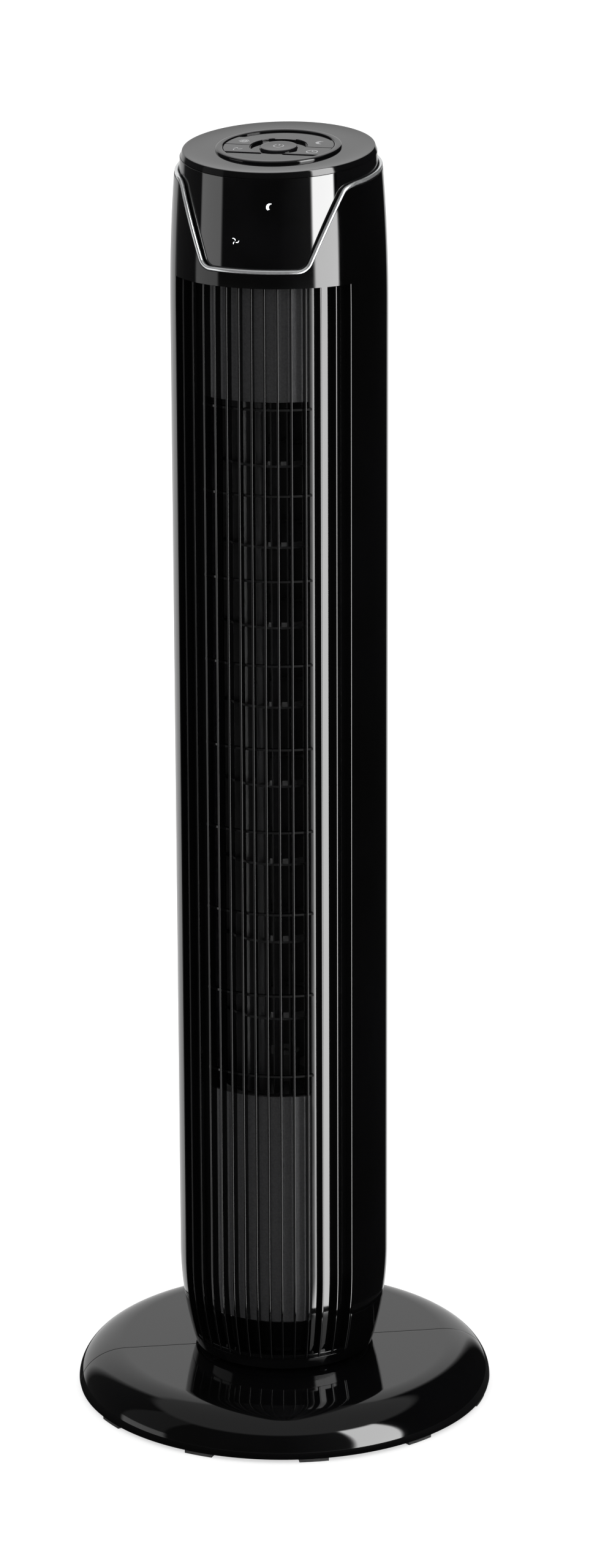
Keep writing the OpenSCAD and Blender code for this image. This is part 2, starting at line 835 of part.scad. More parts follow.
module top_deck() color("#18181a")
  on_deck()
    difference() {
      union() {
        rotate_extrude($fn = 180)
          polygon([
            [plate_r + 0.2, -deck_dish], [ring_r + 1.4, -deck_dish], [52, -deck_dish], [62, -deck_dish / 2],
            [deck_edge_r - bevel_w - 1, -0.1], [deck_edge_r - bevel_w, 0],
            [deck_edge_r, -bevel_h], [spigot_r, -bevel_h], [spigot_r, -bevel_h - spigot_h],
            [spigot_r - spigot_t, -bevel_h - spigot_h], [spigot_r - spigot_t, -bevel_h],
            [50, -deck_dish - deck_t],
            [plate_r + 1, -deck_dish - deck_t], [plate_r + 1, lip_low], [lip_in, lip_low],
            [lip_in, -plate_t_deck], [plate_r + 0.2, -plate_t_deck]
          ]);
        for (i = [0:3])
          rotate([0, 0, 45 + 90 * i])
            translate([post_at, 0, pcb_top])
              cylinder(r = deck_post_r, h = -pcb_top - deck_dish - 1, $fn = 32);
      }
      for (i = [0:3])
        rotate([0, 0, 45 + 90 * i])
          translate([post_at, 0, pcb_top - 1])
            cylinder(r = board_screw_r, h = 7, $fn = 24);
    }

module control_ring() color("#202022")
  on_deck()
    rotate_extrude($fn = 180)
      polygon([
        [plate_r + 0.3, ring_low], [ring_r, ring_low], [ring_r - 0.2, ring_top - 1],
        [ring_r - 0.8, ring_top - 0.2], [ring_r - 1.6, ring_top], [plate_r + 1.4, ring_top],
        [plate_r + 0.6, ring_top - 0.3], [plate_r + 0.3, ring_top - 1]
      ]);

// Space of one side button. It grows under the plate, at its inner and its outer side.
split = 0.6;
side_gap = 0.6;
side_in = 4;
module side_space(x_sign, y_sign, grow, r_out, h) {
  intersection() {
    difference() {
      cylinder(r = r_out, h = h);
      translate([0, 0, -1])
        cylinder(r = groove_r + side_gap - grow, h = h + 2);
    }
    translate([
      x_sign > 0 ? side_in : -plate_r - 2,
      y_sign > 0 ? split / 2 : -side_half - grow,
      0
    ])
      cube([plate_r + 2 - side_in, side_half - split / 2 + grow, h]);
  }
}

groove_d = 1.2;

module control_plate() color("#1a1a1c")
  on_deck()
    difference() {
      translate([0, 0, -plate_t_deck])
        cylinder(r = plate_r, h = plate_t_deck, $fn = 180);
      translate([0, 0, -plate_t_deck - 1])
        cylinder(r = power_r + button_gap, h = plate_t_deck + 2);
      translate([0, 0, -groove_d])
        cylinder(r = groove_r, h = groove_d + 1);
      for (x_sign = [-1, 1])
        translate([0, 0, -plate_t_deck - 1])
          intersection() {
            difference() {
              cylinder(r = plate_r + 1, h = plate_t_deck + 2);
              translate([0, 0, -1])
                cylinder(r = groove_r + side_gap - button_gap, h = plate_t_deck + 4);
            }
            translate([x_sign > 0 ? 0 : -plate_r - 2, -side_half - button_gap, 0])
              cube([plate_r + 2, 2 * (side_half + button_gap), plate_t_deck + 2]);
          }
    }

cap_top = 0.6;
cap_low = -plate_t_deck - 0.3;
// Underside of a side button over the deck's lip, which it clears when it is pressed.
cap_rim_low = -plate_t_deck + button_travel + 0.3;
collar_t = 1;
collar_grow = 1;
collar_r = lip_in - 0.4;
switch_x = 27;
switch_y = 9;

// One side button: cap, collar under the plate, and stem.
module side_button(x_sign, y_sign) {
  on_deck()
    union() {
      translate([0, 0, cap_rim_low])
        side_space(x_sign, y_sign, 0, plate_r - 0.1, cap_top - cap_rim_low);
      translate([0, 0, cap_low - collar_t / 2])
        side_space(x_sign, y_sign, 0, collar_r, cap_rim_low - cap_low + collar_t / 2 + 0.2);
      translate([0, 0, cap_low - collar_t])
        side_space(x_sign, y_sign, collar_grow, collar_r, collar_t);
      translate([x_sign * switch_x, y_sign * switch_y, stem_low])
        cylinder(r = stem_r, h = cap_low - stem_low, $fn = 32);
    }
}

module button_power() color("#2a2a2c")
  on_deck()
    union() {
      translate([0, 0, cap_low])
        cylinder(r = power_r, h = cap_top - cap_low);
      translate([0, 0, cap_low - collar_t])
        cylinder(r = power_r + collar_grow, h = collar_t);
      translate([0, 0, stem_low])
        cylinder(r = stem_r, h = cap_low - stem_low, $fn = 32);
    }

module button_speed() color("#2a2a2c") side_button(-1, -1);
module button_swing() color("#2a2a2c") side_button(-1, 1);
module button_timer() color("#2a2a2c") side_button(1, -1);
module button_sleep() color("#2a2a2c") side_button(1, 1);

module button_board() color("darkgreen")
  on_deck()
    difference() {
      translate([0, 0, pcb_top - pcb_t])
        cylinder(r = board_r, h = pcb_t);
      for (i = [0:3])
        rotate([0, 0, 45 + 90 * i])
          translate([post_at, 0, pcb_top - pcb_t - 1])
            cylinder(r = board_screw_r + 0.2, h = pcb_t + 2, $fn = 24);
    }

module board_screws() color("silver")
  on_deck()
    for (i = [0:3])
      rotate([0, 0, 45 + 90 * i])
        translate([post_at, 0, pcb_top - pcb_t])
          rotate([180, 0, 0])
            screw(board_screw_r, pcb_t + 5, 2 * board_screw_r, 1.2);

module tact_switch() {
  translate([-switch_size / 2, -switch_size / 2, pcb_top])
    cube([switch_size, switch_size, switch_h]);
  translate([0, 0, pcb_top + switch_h])
    cylinder(r = plunger_r, h = plunger_h, $fn = 32);
}

module tact_switches() color("#404040")
  on_deck() {
    tact_switch();
    for (x_sign = [-1, 1])
      for (y_sign = [-1, 1])
        translate([x_sign * switch_x, y_sign * switch_y, 0])
          tact_switch();
  }

// ---- air duct ----
frame_t = 2;
frame_phi = duct_phi + 7;
frame_gap = 0.1;
frame_out = fin_depth + backing_t + frame_gap;

module outlet_frame() color("#3c3c3e")
  difference() {
    shell(panel_low, grille_high, frame_out, frame_out + frame_t, -frame_phi, frame_phi);
    shell(window_low, window_high, 0, frame_out + frame_t + 1, -duct_phi, duct_phi);
  }

guide_t = 1.8;
guide_out = tower_r - frame_out - frame_t - 0.3;
guide_near = wheel_r + 4.5;
volute_end = 150;
guide_steps = 16;
tongue_end = -52;

function guide_r(u, from, to) = from + (to - from) * u;
function guide_line(phi0, phi1, r0, r1, steps) = [for (i = [0:steps])
  let (u = i / steps) polar(guide_r(u, r0, r1), phi0 + (phi1 - phi0) * u - 90)];
function band(phi0, phi1, r0, r1, steps) = concat(
  guide_line(phi0, phi1, r0, r1, steps),
  [for (i = [steps:-1:0]) guide_line(phi0, phi1, r0 - guide_t, r1 - guide_t, steps)[i]]
);

module volute() color("#303032")
  translate([0, 0, lower_end_top])
    linear_extrude(upper_end_low - lower_end_top)
      polygon(band(duct_phi + 2, volute_end, guide_out, guide_near + guide_t, guide_steps));

module tongue() color("#303032")
  translate([0, 0, lower_end_top])
    linear_extrude(upper_end_low - lower_end_top)
      polygon(band(-duct_phi - 2, tongue_end, guide_out, guide_near + guide_t, 5));

end_r = tower_r - frame_out - frame_t - 0.3;
loom_r = 3;
loom_xy = [-58, 2];
loom_hole = 4.4;
end_boss_in = 12;

module end_boss(z) {
  for (side = [-1, 1])
    rotate([0, 0, side * housing_phi])
      translate([0, -end_r + end_boss_in, z])
        rotate([90, 0, 0])
          cylinder(r = pad_r, h = tower_r - wall - 0.1 - end_r + end_boss_in, $fn = 32);
}

module end_boss_holes(z) {
  for (side = [-1, 1])
    rotate([0, 0, side * housing_phi])
      translate([0, -tower_r, z])
        rotate([-90, 0, 0])
          cylinder(r = screw_r, h = 14, $fn = 24);
}

cushion_r = 14;
cushion_h = 8;
bush_r = 8;

module upper_end_plate() color("#303032")
  difference() {
    union() {
      round_plate(end_r, upper_end_low, upper_end_low + end_t);
      difference() {
        end_boss(upper_end_low + end_t / 2);
        round_plate(end_r, upper_end_low - far / 4, upper_end_low);
      }
      round_plate(cushion_r + 2.5, upper_end_low, upper_end_low + cushion_h);
    }
    round_plate(cushion_r, 0, far * 3);
    translate([loom_xy[0], loom_xy[1], 0])
      cylinder(r = loom_hole, h = far * 3, $fn = 32);
    end_boss_holes(upper_end_low + end_t / 2);
  }

module lower_end_plate() color("#303032")
  difference() {
    union() {
      round_plate(end_r, lower_end_top - end_t, lower_end_top);
      difference() {
        end_boss(lower_end_top - end_t / 2);
        round_plate(end_r, lower_end_top, lower_end_top + far / 4);
      }
    }
    round_plate(hub_r + 1.5, 0, far * 3);
    translate([loom_xy[0], loom_xy[1], 0])
      cylinder(r = loom_hole, h = far * 3, $fn = 32);
    end_boss_holes(lower_end_top - end_t / 2);
    for (i = [0:3])
      rotate([0, 0, 90 * i])
        translate([bracket_leg, 0, 0])
          cylinder(r = screw_hole_r, h = far, $fn = 24);
  }

axle_r = 3;

module top_bush() color("#a08040")
  ring(axle_r + bush_play, bush_r, upper_end_low + 0.5, upper_end_low + cushion_h);

module bush_cushion() color("#1a1a1a")
  ring(bush_r, cushion_r, upper_end_low, upper_end_low + cushion_h);

loom_sides = 12;
loom_path = [
  [0, 0, post_top + 4], [0, 2, post_top + 10], [-6, 8, post_top + 18], [-40, 4, 80],
  [-52, 2, 88], [loom_xy[0], loom_xy[1], 100], [loom_xy[0], loom_xy[1], pod_low - 30],
  [-52, 2, pod_low - 20], [-12, 4, pod_low - 12], [-8, 2, pod_low - 4], [-6, 0, pod_low + 14]
];
loom_last = len(loom_path) - 1;

function unit(v) = v / norm(v);
function loom_leg(i) = unit(loom_path[i + 1] - loom_path[i]);
function loom_way(i) = unit(loom_leg(max(i - 1, 0)) + loom_leg(min(i, loom_last - 1)));
function loom_ring(i) =
  let (way = loom_way(i), side = unit(cross([0, 1, 0], way)), up = cross(way, side))
  [for (j = [0:loom_sides - 1])
    let (a = 360 * j / loom_sides)
    loom_path[i] + loom_r * (cos(a) * side + sin(a) * up)];

module wire_loom() color("firebrick")
  polyhedron(
    points = [for (i = [0:loom_last]) for (p = loom_ring(i)) p],
    faces = concat(
      [[for (j = [0:loom_sides - 1]) j]],
      [for (i = [0:loom_last - 1]) for (j = [0:loom_sides - 1])
        let (k = (j + 1) % loom_sides)
        [(i + 1) * loom_sides + j, (i + 1) * loom_sides + k, i * loom_sides + k, i * loom_sides + j]],
      [[for (j = [loom_sides - 1:-1:0]) loom_last * loom_sides + j]]
    )
  );

// ---- fan motor ----
hub_r = 12;
bracket_leg = 48;
bracket_t = 2;
leg_h = 8;
bracket_top = lower_end_top - end_t - leg_h;
bracket_low = bracket_top - bracket_t;
motor_h = 54;
motor_top = bracket_low;
motor_mid = motor_top - motor_h / 2;
motor_low = motor_top - motor_h;
neck_r = 9;
neck_h = 7;
shell_t = 1.6;
stator_h = 24;
rotor_r = 24;
rotor_gap = 0.5;
slots = 8;
slot_w = 8;
slot_deep = 9;
winding_r = 5;
motor_screw_at = 34;
motor_head_r = 3.2;
motor_head_h = 1.8;

module motor_bracket() color("silver")
  difference() {
    union() {
      round_plate(bracket_leg + pad_r + 0.5, bracket_low, bracket_top);
      for (i = [0:3])
        rotate([0, 0, 90 * i])
          translate([bracket_leg, 0, bracket_low])
            cylinder(r = pad_r, h = lower_end_top - end_t - bracket_low, $fn = 32);
    }
    round_plate(neck_r + 0.3, 0, far);
    for (i = [0:3]) {
      rotate([0, 0, 90 * i])
        translate([bracket_leg, 0, bracket_top - 1])
          cylinder(r = screw_r, h = far, $fn = 24);
      rotate([0, 0, 45 + 90 * i])
        translate([motor_screw_at, 0, 0])
          cylinder(r = screw_hole_r, h = far, $fn = 24);
    }
  }

module motor_screws() color("silver") {
  for (i = [0:3]) {
    rotate([0, 0, 45 + 90 * i])
      translate([motor_screw_at, 0, bracket_top])
        screw(screw_r, bracket_t + shell_t, motor_head_r, motor_head_h);
    rotate([0, 0, 90 * i])
      translate([bracket_leg, 0, lower_end_top])
        screw(screw_r, end_t + leg_h - 1, motor_head_r, motor_head_h);
  }
}

// A motor cup, open at the bottom, with a bush neck on top.
module motor_cup() {
  difference() {
    union() {
      cylinder(r = motor_r, h = motor_h / 2);
      cylinder(r = neck_r, h = motor_h / 2 + neck_h);
    }
    translate([0, 0, -1])
      cylinder(r = motor_r - shell_t, h = motor_h / 2 + 1 - shell_t);
    translate([0, 0, -1])
      cylinder(r = neck_r - 2, h = motor_h / 2 + neck_h + 2);
    for (i = [0:3])
      rotate([0, 0, 45 + 90 * i])
        translate([motor_screw_at, 0, motor_h / 4])
          cylinder(r = screw_r, h = motor_h, $fn = 24);
  }
}

module motor_shell_upper() color("silver")
  translate([0, 0, motor_mid])
    motor_cup();

module motor_shell_lower() color("silver")
  translate([0, 0, motor_mid])
    mirror([0, 0, 1])
      motor_cup();

module motor_stator() color("dimgray")
  difference() {
    ring(rotor_r + rotor_gap, motor_r - shell_t, motor_mid - stator_h / 2, motor_mid + stator_h / 2);
    for (i = [0:slots - 1])
      rotate([0, 0, 360 * (i + 0.5) / slots])
        translate([rotor_r - 2, -slot_w / 2, 0])
          cube([slot_deep, slot_w, far]);
  }

module motor_windings() color("#b06a30")
  for (side = [-1, 1])
    translate([0, 0, motor_mid + side * (stator_h / 2 + winding_r)])
      rotate_extrude($fn = 96)
        translate([rotor_r + winding_r + 3, 0])
          circle(r = winding_r, $fn = 32);

module motor_bushes() color("#a08040") {
  ring(shaft_r + bush_play, neck_r - 2, motor_top - shell_t, motor_top + neck_h);
  ring(shaft_r + bush_play, neck_r - 2, motor_low - neck_h, motor_low + shell_t);
}

shaft_low = motor_low - neck_h - 6;
wheel_low = window_low - wheel_past;
wheel_high = window_high + wheel_past;
hub_h = 20;

module motor_shaft() color("silver")
  round_plate(shaft_r, shaft_low, wheel_low + hub_h - 2);

module motor_rotor() color("#707074")
  ring(shaft_r, rotor_r, motor_mid - stator_h / 2 - 1, motor_mid + stator_h / 2 + 1);

capacitor_l = 26;
capacitor_w = 12;
capacitor_h = 18;
capacitor_y = gear_r + 2;

module run_capacitor() color("white")
  translate([-capacitor_l / 2, -capacitor_y - capacitor_w, hub_top])
    cube([capacitor_l, capacitor_w, capacitor_h]);

ear_t = 1.6;
ear_half = 5;

module swing_motor() color("silver")
  rotate([0, 0, drive_turn])
    union() {
      translate([swing_motor_x, 0, swing_motor_low])
        cylinder(r = swing_motor_r, h = swing_motor_h);
      difference() {
        translate([swing_motor_x - ear_half, -ear_y - ear_half, swing_motor_low])
          cube([2 * ear_half, 2 * (ear_y + ear_half), ear_t]);
        for (side = [-1, 1])
          translate([swing_motor_x, side * ear_y, swing_motor_low - 1])
            cylinder(r = screw_hole_r, h = ear_t + 2, $fn = 24);
      }
      translate([gear_axis, 0, gear_low + 0.5])
        cylinder(r = pinion_bore - 0.05, h = swing_motor_low - gear_low, $fn = 32);
    }

module swing_motor_screws() color("silver")
  rotate([0, 0, drive_turn])
    for (side = [-1, 1])
      translate([swing_motor_x, side * ear_y, swing_motor_low + ear_t])
        screw(screw_r, 8, 3, 1.6);

// ---- impeller ----
disc_t = 1.6;
blade_t = 1.1;
blade_depth = 9;
blade_sweep = 26;
blade_curve = 6;
sleeve_r = 9;
sleeve_h = 16;

// A blade's section: a thin curved strip that leans forwards towards its outer edge.
function blade_mid(u) = polar(wheel_r - 0.4 - blade_depth * (1 - u), -blade_sweep * u * (1 - 0.35 * u) * 0.5);
function blade_line(side) = [for (i = [0:blade_curve])
  let (u = i / blade_curve, p = blade_mid(u), q = blade_mid(u + 0.01), d = (q - p) / norm(q - p))
  p + side * blade_t / 2 * [-d[1], d[0]]];

module blade_section() {
  right = blade_line(-1);
  left = blade_line(1);
  polygon(concat(right, [for (i = [blade_curve:-1:0]) left[i]]));
}

module impeller() color("#2c2c30")
  union() {
    translate([0, 0, wheel_low])
      linear_extrude(wheel_high - wheel_low)
        for (i = [0:blades - 1])
          rotate(360 * i / blades)
            blade_section();
    for (i = [1:segments - 1])
      let (z = wheel_low + (wheel_high - wheel_low - disc_t) * i / segments)
        ring(wheel_r - blade_depth - 3, wheel_r, z, z + disc_t);
    ring(hub_r, wheel_r, wheel_low, wheel_low + disc_t);
    ring(axle_r, wheel_r, wheel_high - disc_t, wheel_high);
    ring(axle_r, sleeve_r, wheel_high - sleeve_h, wheel_high);
  }

module impeller_hub() color("#1a1a1a")
  union() {
    ring(shaft_r, hub_r, wheel_low, wheel_low + hub_h);
    ring(hub_r - 1, hub_r + 5, wheel_low + disc_t, wheel_low + disc_t + 2.5);
  }

module top_axle() color("silver")
  round_plate(axle_r, wheel_high - sleeve_h + 2, upper_end_low + cushion_h + 2);

base_front_half();
base_rear_half();
base_screws();
rubber_feet();
cord_grommet();
pivot_post();
slide_ring();
pivot_clip();
swing_gear();
bottom_plate();
plate_screws();
lower_skirt();
front_panel();
rear_housing();
intake_grille();
housing_screws();
trim_ring();
head_shell();
display_window();
display_board();
display_leds();
ir_receiver();
top_deck();
control_ring();
control_plate();
button_board();
board_screws();
tact_switches();
outlet_frame();
volute();
tongue();
upper_end_plate();
lower_end_plate();
top_bush();
bush_cushion();
motor_bracket();
motor_shell_upper();
motor_shell_lower();
motor_stator();
motor_windings();
motor_bushes();
motor_screws();
run_capacitor();
swing_motor();
swing_motor_screws();
wire_loom();
impeller();
impeller_hub();
top_axle();
motor_shaft();
motor_rotor();
swing_pinion();
button_power();
button_speed();
button_swing();
button_timer();
button_sleep();
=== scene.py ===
import json
import math
import bpy
from mathutils import Matrix, Vector


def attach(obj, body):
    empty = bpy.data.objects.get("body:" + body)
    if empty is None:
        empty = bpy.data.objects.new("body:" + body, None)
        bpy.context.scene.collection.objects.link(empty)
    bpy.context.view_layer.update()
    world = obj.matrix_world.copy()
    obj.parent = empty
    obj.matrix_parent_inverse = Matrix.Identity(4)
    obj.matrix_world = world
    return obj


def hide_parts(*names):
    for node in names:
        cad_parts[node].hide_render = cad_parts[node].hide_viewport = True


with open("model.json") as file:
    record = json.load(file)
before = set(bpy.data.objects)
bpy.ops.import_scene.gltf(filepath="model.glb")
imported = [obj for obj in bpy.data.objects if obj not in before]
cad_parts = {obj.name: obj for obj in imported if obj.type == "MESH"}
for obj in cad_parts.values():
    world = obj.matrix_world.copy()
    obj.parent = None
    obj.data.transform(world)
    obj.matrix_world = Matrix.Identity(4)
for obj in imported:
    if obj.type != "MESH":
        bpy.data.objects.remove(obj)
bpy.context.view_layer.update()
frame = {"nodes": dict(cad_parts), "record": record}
mm = 0.001

# the tower's outline, in millimetres and degrees; phi 0 is the front, positive to the right
tower = {
    "radius": 75.0, "low": 35.5, "rim": 896.0, "tilt": 6.0, "wall": 2.5, "trim": 3.0,
    "footCurve": 250.0, "footRise": 71.5, "headCurve": 1200.0, "headDrop": 96.0,
    "grilleLow": 43.6, "grilleHigh": 824.5, "frontPhi": 56.5, "ductPhi": 32.0,
    "panelLow": 72.0, "windowLow": 244.0, "windowHigh": 745.0, "frameOut": 8.1, "frameIn": 10.1,
}
deck = {
    "height": 908.5, "dish": 0.6, "bevelHigh": 4.0, "seat": 0.05, "under": 4.2, "lipLow": 4.6, "lipIn": 35.0,
    "ringIn": 38.3, "ringOut": 43.3, "ringTop": 1.3, "plate": 38.0, "plateThick": 2.5, "power": 12.8,
    "groove": 19.2, "grooveDeep": 1.2,
}


# camera and light
cameraPlan = {
    "place": (0.887, -3.311, 1.484), "heading": 14.822, "pitch": -16.71, "roll": -0.23, "lens": 116.2,
}


def makeCamera():
    data = bpy.data.cameras.new("studioCamera")
    camera = bpy.data.objects.new("studioCamera", data)
    bpy.context.scene.collection.objects.link(camera)
    data.lens = cameraPlan["lens"]
    data.sensor_width = 36.0
    data.dof.use_dof = False
    turned = (
        Matrix.Rotation(math.radians(cameraPlan["heading"]), 4, "Z")
        @ Matrix.Rotation(math.radians(90 + cameraPlan["pitch"]), 4, "X")
        @ Matrix.Rotation(math.radians(cameraPlan["roll"]), 4, "Z")
    )
    camera.matrix_world = Matrix.Translation(cameraPlan["place"]) @ turned
    bpy.context.scene.camera = camera


# what the gloss sees: angle from the camera's side of the studio, positive to the right, and brightness
studio = {
    "facing": 15.0,
    "around": [
        (-180, 1.0), (-146, 1.0), (-138, 0.06), (-100, 0.05), (-98, 0.2), (-69, 0.2), (-67, 0.04),
        (0, 0.03), (36, 0.12), (39, 15.0), (65, 15.0), (67, 0.01), (156, 0.01), (162, 1.0), (180, 1.0),
    ],
    "brightest": 15.0, "softboxTop": 50.0, "overhead": 0.5,
}
# what the studio adds below the horizon: the left softbox and the pale table in front
lowBands = [
    {"from": -90.0, "to": 4.0, "around": [(-99, 0), (-98, 1.3), (-69, 1.3), (-67, 0)]},
    {"from": -23.5, "to": -9.3, "around": [(-90, 0), (-66, 0.10), (0, 0.22), (36, 0.6), (39, 0)]},
]


def rampStops(ramp, stops):
    # the first two stops exist already
    while len(ramp.elements) < len(stops):
        ramp.elements.new(0.5)
    for element, (place, level) in zip(ramp.elements, stops):
        element.position = place
        element.color = (level, level, level, 1)


def mathNode(nodes, links, operation, first, second=None, clamp=False):
    node = nodes.new("ShaderNodeMath")
    node.operation = operation
    node.use_clamp = clamp
    for socket, value in zip(node.inputs, (first, second)):
        if value is None:
            continue
        if isinstance(value, (int, float)):
            socket.default_value = value
        else:
            links.new(value, socket)
    return node.outputs[0]


def makeStudio():
    world = bpy.data.worlds.new("paleStudio")
    bpy.context.scene.world = world
    world.use_nodes = True
    nodes, links = world.node_tree.nodes, world.node_tree.links
    nodes.clear()
    out = nodes.new("ShaderNodeOutputWorld")
    where = nodes.new("ShaderNodeTexCoord")
    turned = nodes.new("ShaderNodeMapping")
    turned.inputs["Rotation"].default_value = (0, 0, -math.radians(studio["facing"]))
    split = nodes.new("ShaderNodeSeparateXYZ")
    links.new(where.outputs["Generated"], turned.inputs["Vector"])
    links.new(turned.outputs["Vector"], split.inputs["Vector"])
    toCamera = mathNode(nodes, links, "MULTIPLY", split.outputs["Y"], -1.0)
    angle = mathNode(nodes, links, "ARCTAN2", split.outputs["X"], toCamera)
    share = mathNode(nodes, links, "MULTIPLY_ADD", angle, 1 / (2 * math.pi))
    share.node.inputs[2].default_value = 0.5
    around = nodes.new("ShaderNodeValToRGB")
    links.new(share, around.inputs["Fac"])
    stops = [((a + 180) / 360, math.sqrt(level / studio["brightest"])) for a, level in studio["around"]]
    rampStops(around.color_ramp, stops)
    squared = mathNode(nodes, links, "POWER", around.outputs["Color"], 2.0)
    ring = mathNode(nodes, links, "MULTIPLY", squared, studio["brightest"])
    rise = mathNode(nodes, links, "ARCSINE", split.outputs["Z"])
    riseShare = mathNode(nodes, links, "MULTIPLY_ADD", rise, 1 / math.pi)
    riseShare.node.inputs[2].default_value = 0.5
    for band in lowBands:
        front = nodes.new("ShaderNodeValToRGB")
        links.new(share, front.inputs["Fac"])
        rampStops(front.color_ramp, [((a + 180) / 360, level) for a, level in band["around"]])
        gate = nodes.new("ShaderNodeValToRGB")
        links.new(riseShare, gate.inputs["Fac"])
        low, high = (band["from"] + 90) / 180, (band["to"] + 90) / 180
        gateStops = [(low - 0.004, 0), (low + 0.004, 1), (high - 0.003, 1), (high + 0.003, 0)]
        rampStops(gate.color_ramp, gateStops)
        part = mathNode(nodes, links, "MULTIPLY", front.outputs["Color"], gate.outputs["Color"])
        ring = mathNode(nodes, links, "ADD", ring, part)
    # above the softboxes the studio is an even mid grey
    upper = nodes.new("ShaderNodeValToRGB")
    links.new(riseShare, upper.inputs["Fac"])
    top = (studio["softboxTop"] + 90) / 180
    rampStops(upper.color_ramp, [(0, 0), (top - 0.01, 0), (top + 0.01, 1), (1, 1)])
    blend = nodes.new("ShaderNodeMix")
    blend.data_type = "FLOAT"
    links.new(upper.outputs["Color"], blend.inputs["Factor"])
    links.new(ring, blend.inputs["A"])
    blend.inputs["B"].default_value = studio["overhead"]
    glossLight = nodes.new("ShaderNodeBackground")
    links.new(blend.outputs["Result"], glossLight.inputs["Strength"])
    evenLight = nodes.new("ShaderNodeBackground")
    evenLight.inputs["Color"].default_value = (1, 1, 1, 1)
    evenLight.inputs["Strength"].default_value = 1.15
    rays = nodes.new("ShaderNodeLightPath")
    pick = nodes.new("ShaderNodeMixShader")
    links.new(rays.outputs["Is Glossy Ray"], pick.inputs["Fac"])
    links.new(evenLight.outputs["Background"], pick.inputs[1])
    links.new(glossLight.outputs["Background"], pick.inputs[2])
    links.new(pick.outputs["Shader"], out.inputs["Surface"])
    bpy.context.scene.view_settings.view_transform = "Standard"


def makeFloor():
    deselect()
    bpy.ops.mesh.primitive_plane_add(size=14, location=(0, 0, 0))
    floor = bpy.context.object
    floor.name = "paleFloor"
    finish = newFinish("paleFloor", (0.5, 0.5, 0.5), 0.9)
    shader = finish.node_tree.nodes["Principled BSDF"]
    shader.inputs["Emission Color"].default_value = (1, 1, 1, 1)
    shader.inputs["Emission Strength"].default_value = 0.62
    floor.data.materials.append(finish)
    floor.visible_glossy = False
    # a dark patch near the foot that only the reflections see
    deselect()
    bpy.ops.mesh.primitive_circle_add(vertices=96, radius=0.19, fill_type="NGON", location=(0, 0, 0.0004))
    patch = bpy.context.object
    patch.name = "darkPatch"
    patch.data.materials.append(newFinish("darkPatch", (0.002, 0.002, 0.002), 1.0))
    patch.visible_camera = False
    patch.visible_diffuse = False
    patch.visible_shadow = False


# finishes
def newFinish(name, color, roughness, metallic=0.0, coat=0.0):
    finish = bpy.data.materials.new(name)
    finish.use_nodes = True
    shader = finish.node_tree.nodes["Principled BSDF"]
    shader.inputs["Base Color"].default_value = (*color, 1)
    shader.inputs["Roughness"].default_value = roughness
    shader.inputs["Metallic"].default_value = metallic
    shader.inputs["Coat Weight"].default_value = coat
    shader.inputs["Coat Roughness"].default_value = 0.03
    return finish


def noiseOn(finish, scale, detail=3.0, stretch=(1, 1, 1)):
    nodes, links = finish.node_tree.nodes, finish.node_tree.links
    where = nodes.new("ShaderNodeTexCoord")
    spread = nodes.new("ShaderNodeMapping")
    spread.inputs["Scale"].default_value = stretch
    noise = nodes.new("ShaderNodeTexNoise")
    noise.inputs["Scale"].default_value = scale
    noise.inputs["Detail"].default_value = detail
    links.new(where.outputs["Object"], spread.inputs["Vector"])
    links.new(spread.outputs["Vector"], noise.inputs["Vector"])
    return noise.outputs["Fac"]


def varyRoughness(finish, scale, low, high, stretch=(1, 1, 1)):
    nodes, links = finish.node_tree.nodes, finish.node_tree.links
    spread = nodes.new("ShaderNodeMapRange")
    spread.inputs["From Min"].default_value = 0.3
    spread.inputs["From Max"].default_value = 0.7
    spread.inputs["To Min"].default_value = low
    spread.inputs["To Max"].default_value = high
    links.new(noiseOn(finish, scale, stretch=stretch), spread.inputs["Value"])
    links.new(spread.outputs["Result"], nodes["Principled BSDF"].inputs["Roughness"])


def varyColor(finish, scale, dark, light, stretch=(1, 1, 1)):
    nodes, links = finish.node_tree.nodes, finish.node_tree.links
    ramp = nodes.new("ShaderNodeValToRGB")
    ramp.color_ramp.elements[0].position = 0.35
    ramp.color_ramp.elements[0].color = (*dark, 1)
    ramp.color_ramp.elements[1].position = 0.65
    ramp.color_ramp.elements[1].color = (*light, 1)
    links.new(noiseOn(finish, scale, stretch=stretch), ramp.inputs["Fac"])
    links.new(ramp.outputs["Color"], nodes["Principled BSDF"].inputs["Base Color"])


def grain(finish, scale, strength, depth, stretch=(1, 1, 1)):
    nodes, links = finish.node_tree.nodes, finish.node_tree.links
    bump = nodes.new("ShaderNodeBump")
    bump.inputs["Strength"].default_value = strength
    bump.inputs["Distance"].default_value = depth * mm
    links.new(noiseOn(finish, scale, stretch=stretch), bump.inputs["Height"])
    links.new(bump.outputs["Normal"], nodes["Principled BSDF"].inputs["Normal"])


def glossBlack(name, level):
    finish = newFinish(name, (level, level, level * 1.1), 0.06)
    varyColor(finish, 9, (level * 0.8,) * 3, (level * 1.2, level * 1.2, level * 1.35))
    varyRoughness(finish, 45, 0.035, 0.08)
    grain(finish, 70, 0.04, 0.015)
    return finish


def lensFinish():
    finish = newFinish("lens", (0.001, 0.001, 0.0012), 0.03)
    finish.node_tree.nodes["Principled BSDF"].inputs["IOR"].default_value = 1.75
    varyColor(finish, 30, (0.0006, 0.0006, 0.0007), (0.0014, 0.0014, 0.0017))
    varyRoughness(finish, 60, 0.02, 0.05)
    return finish


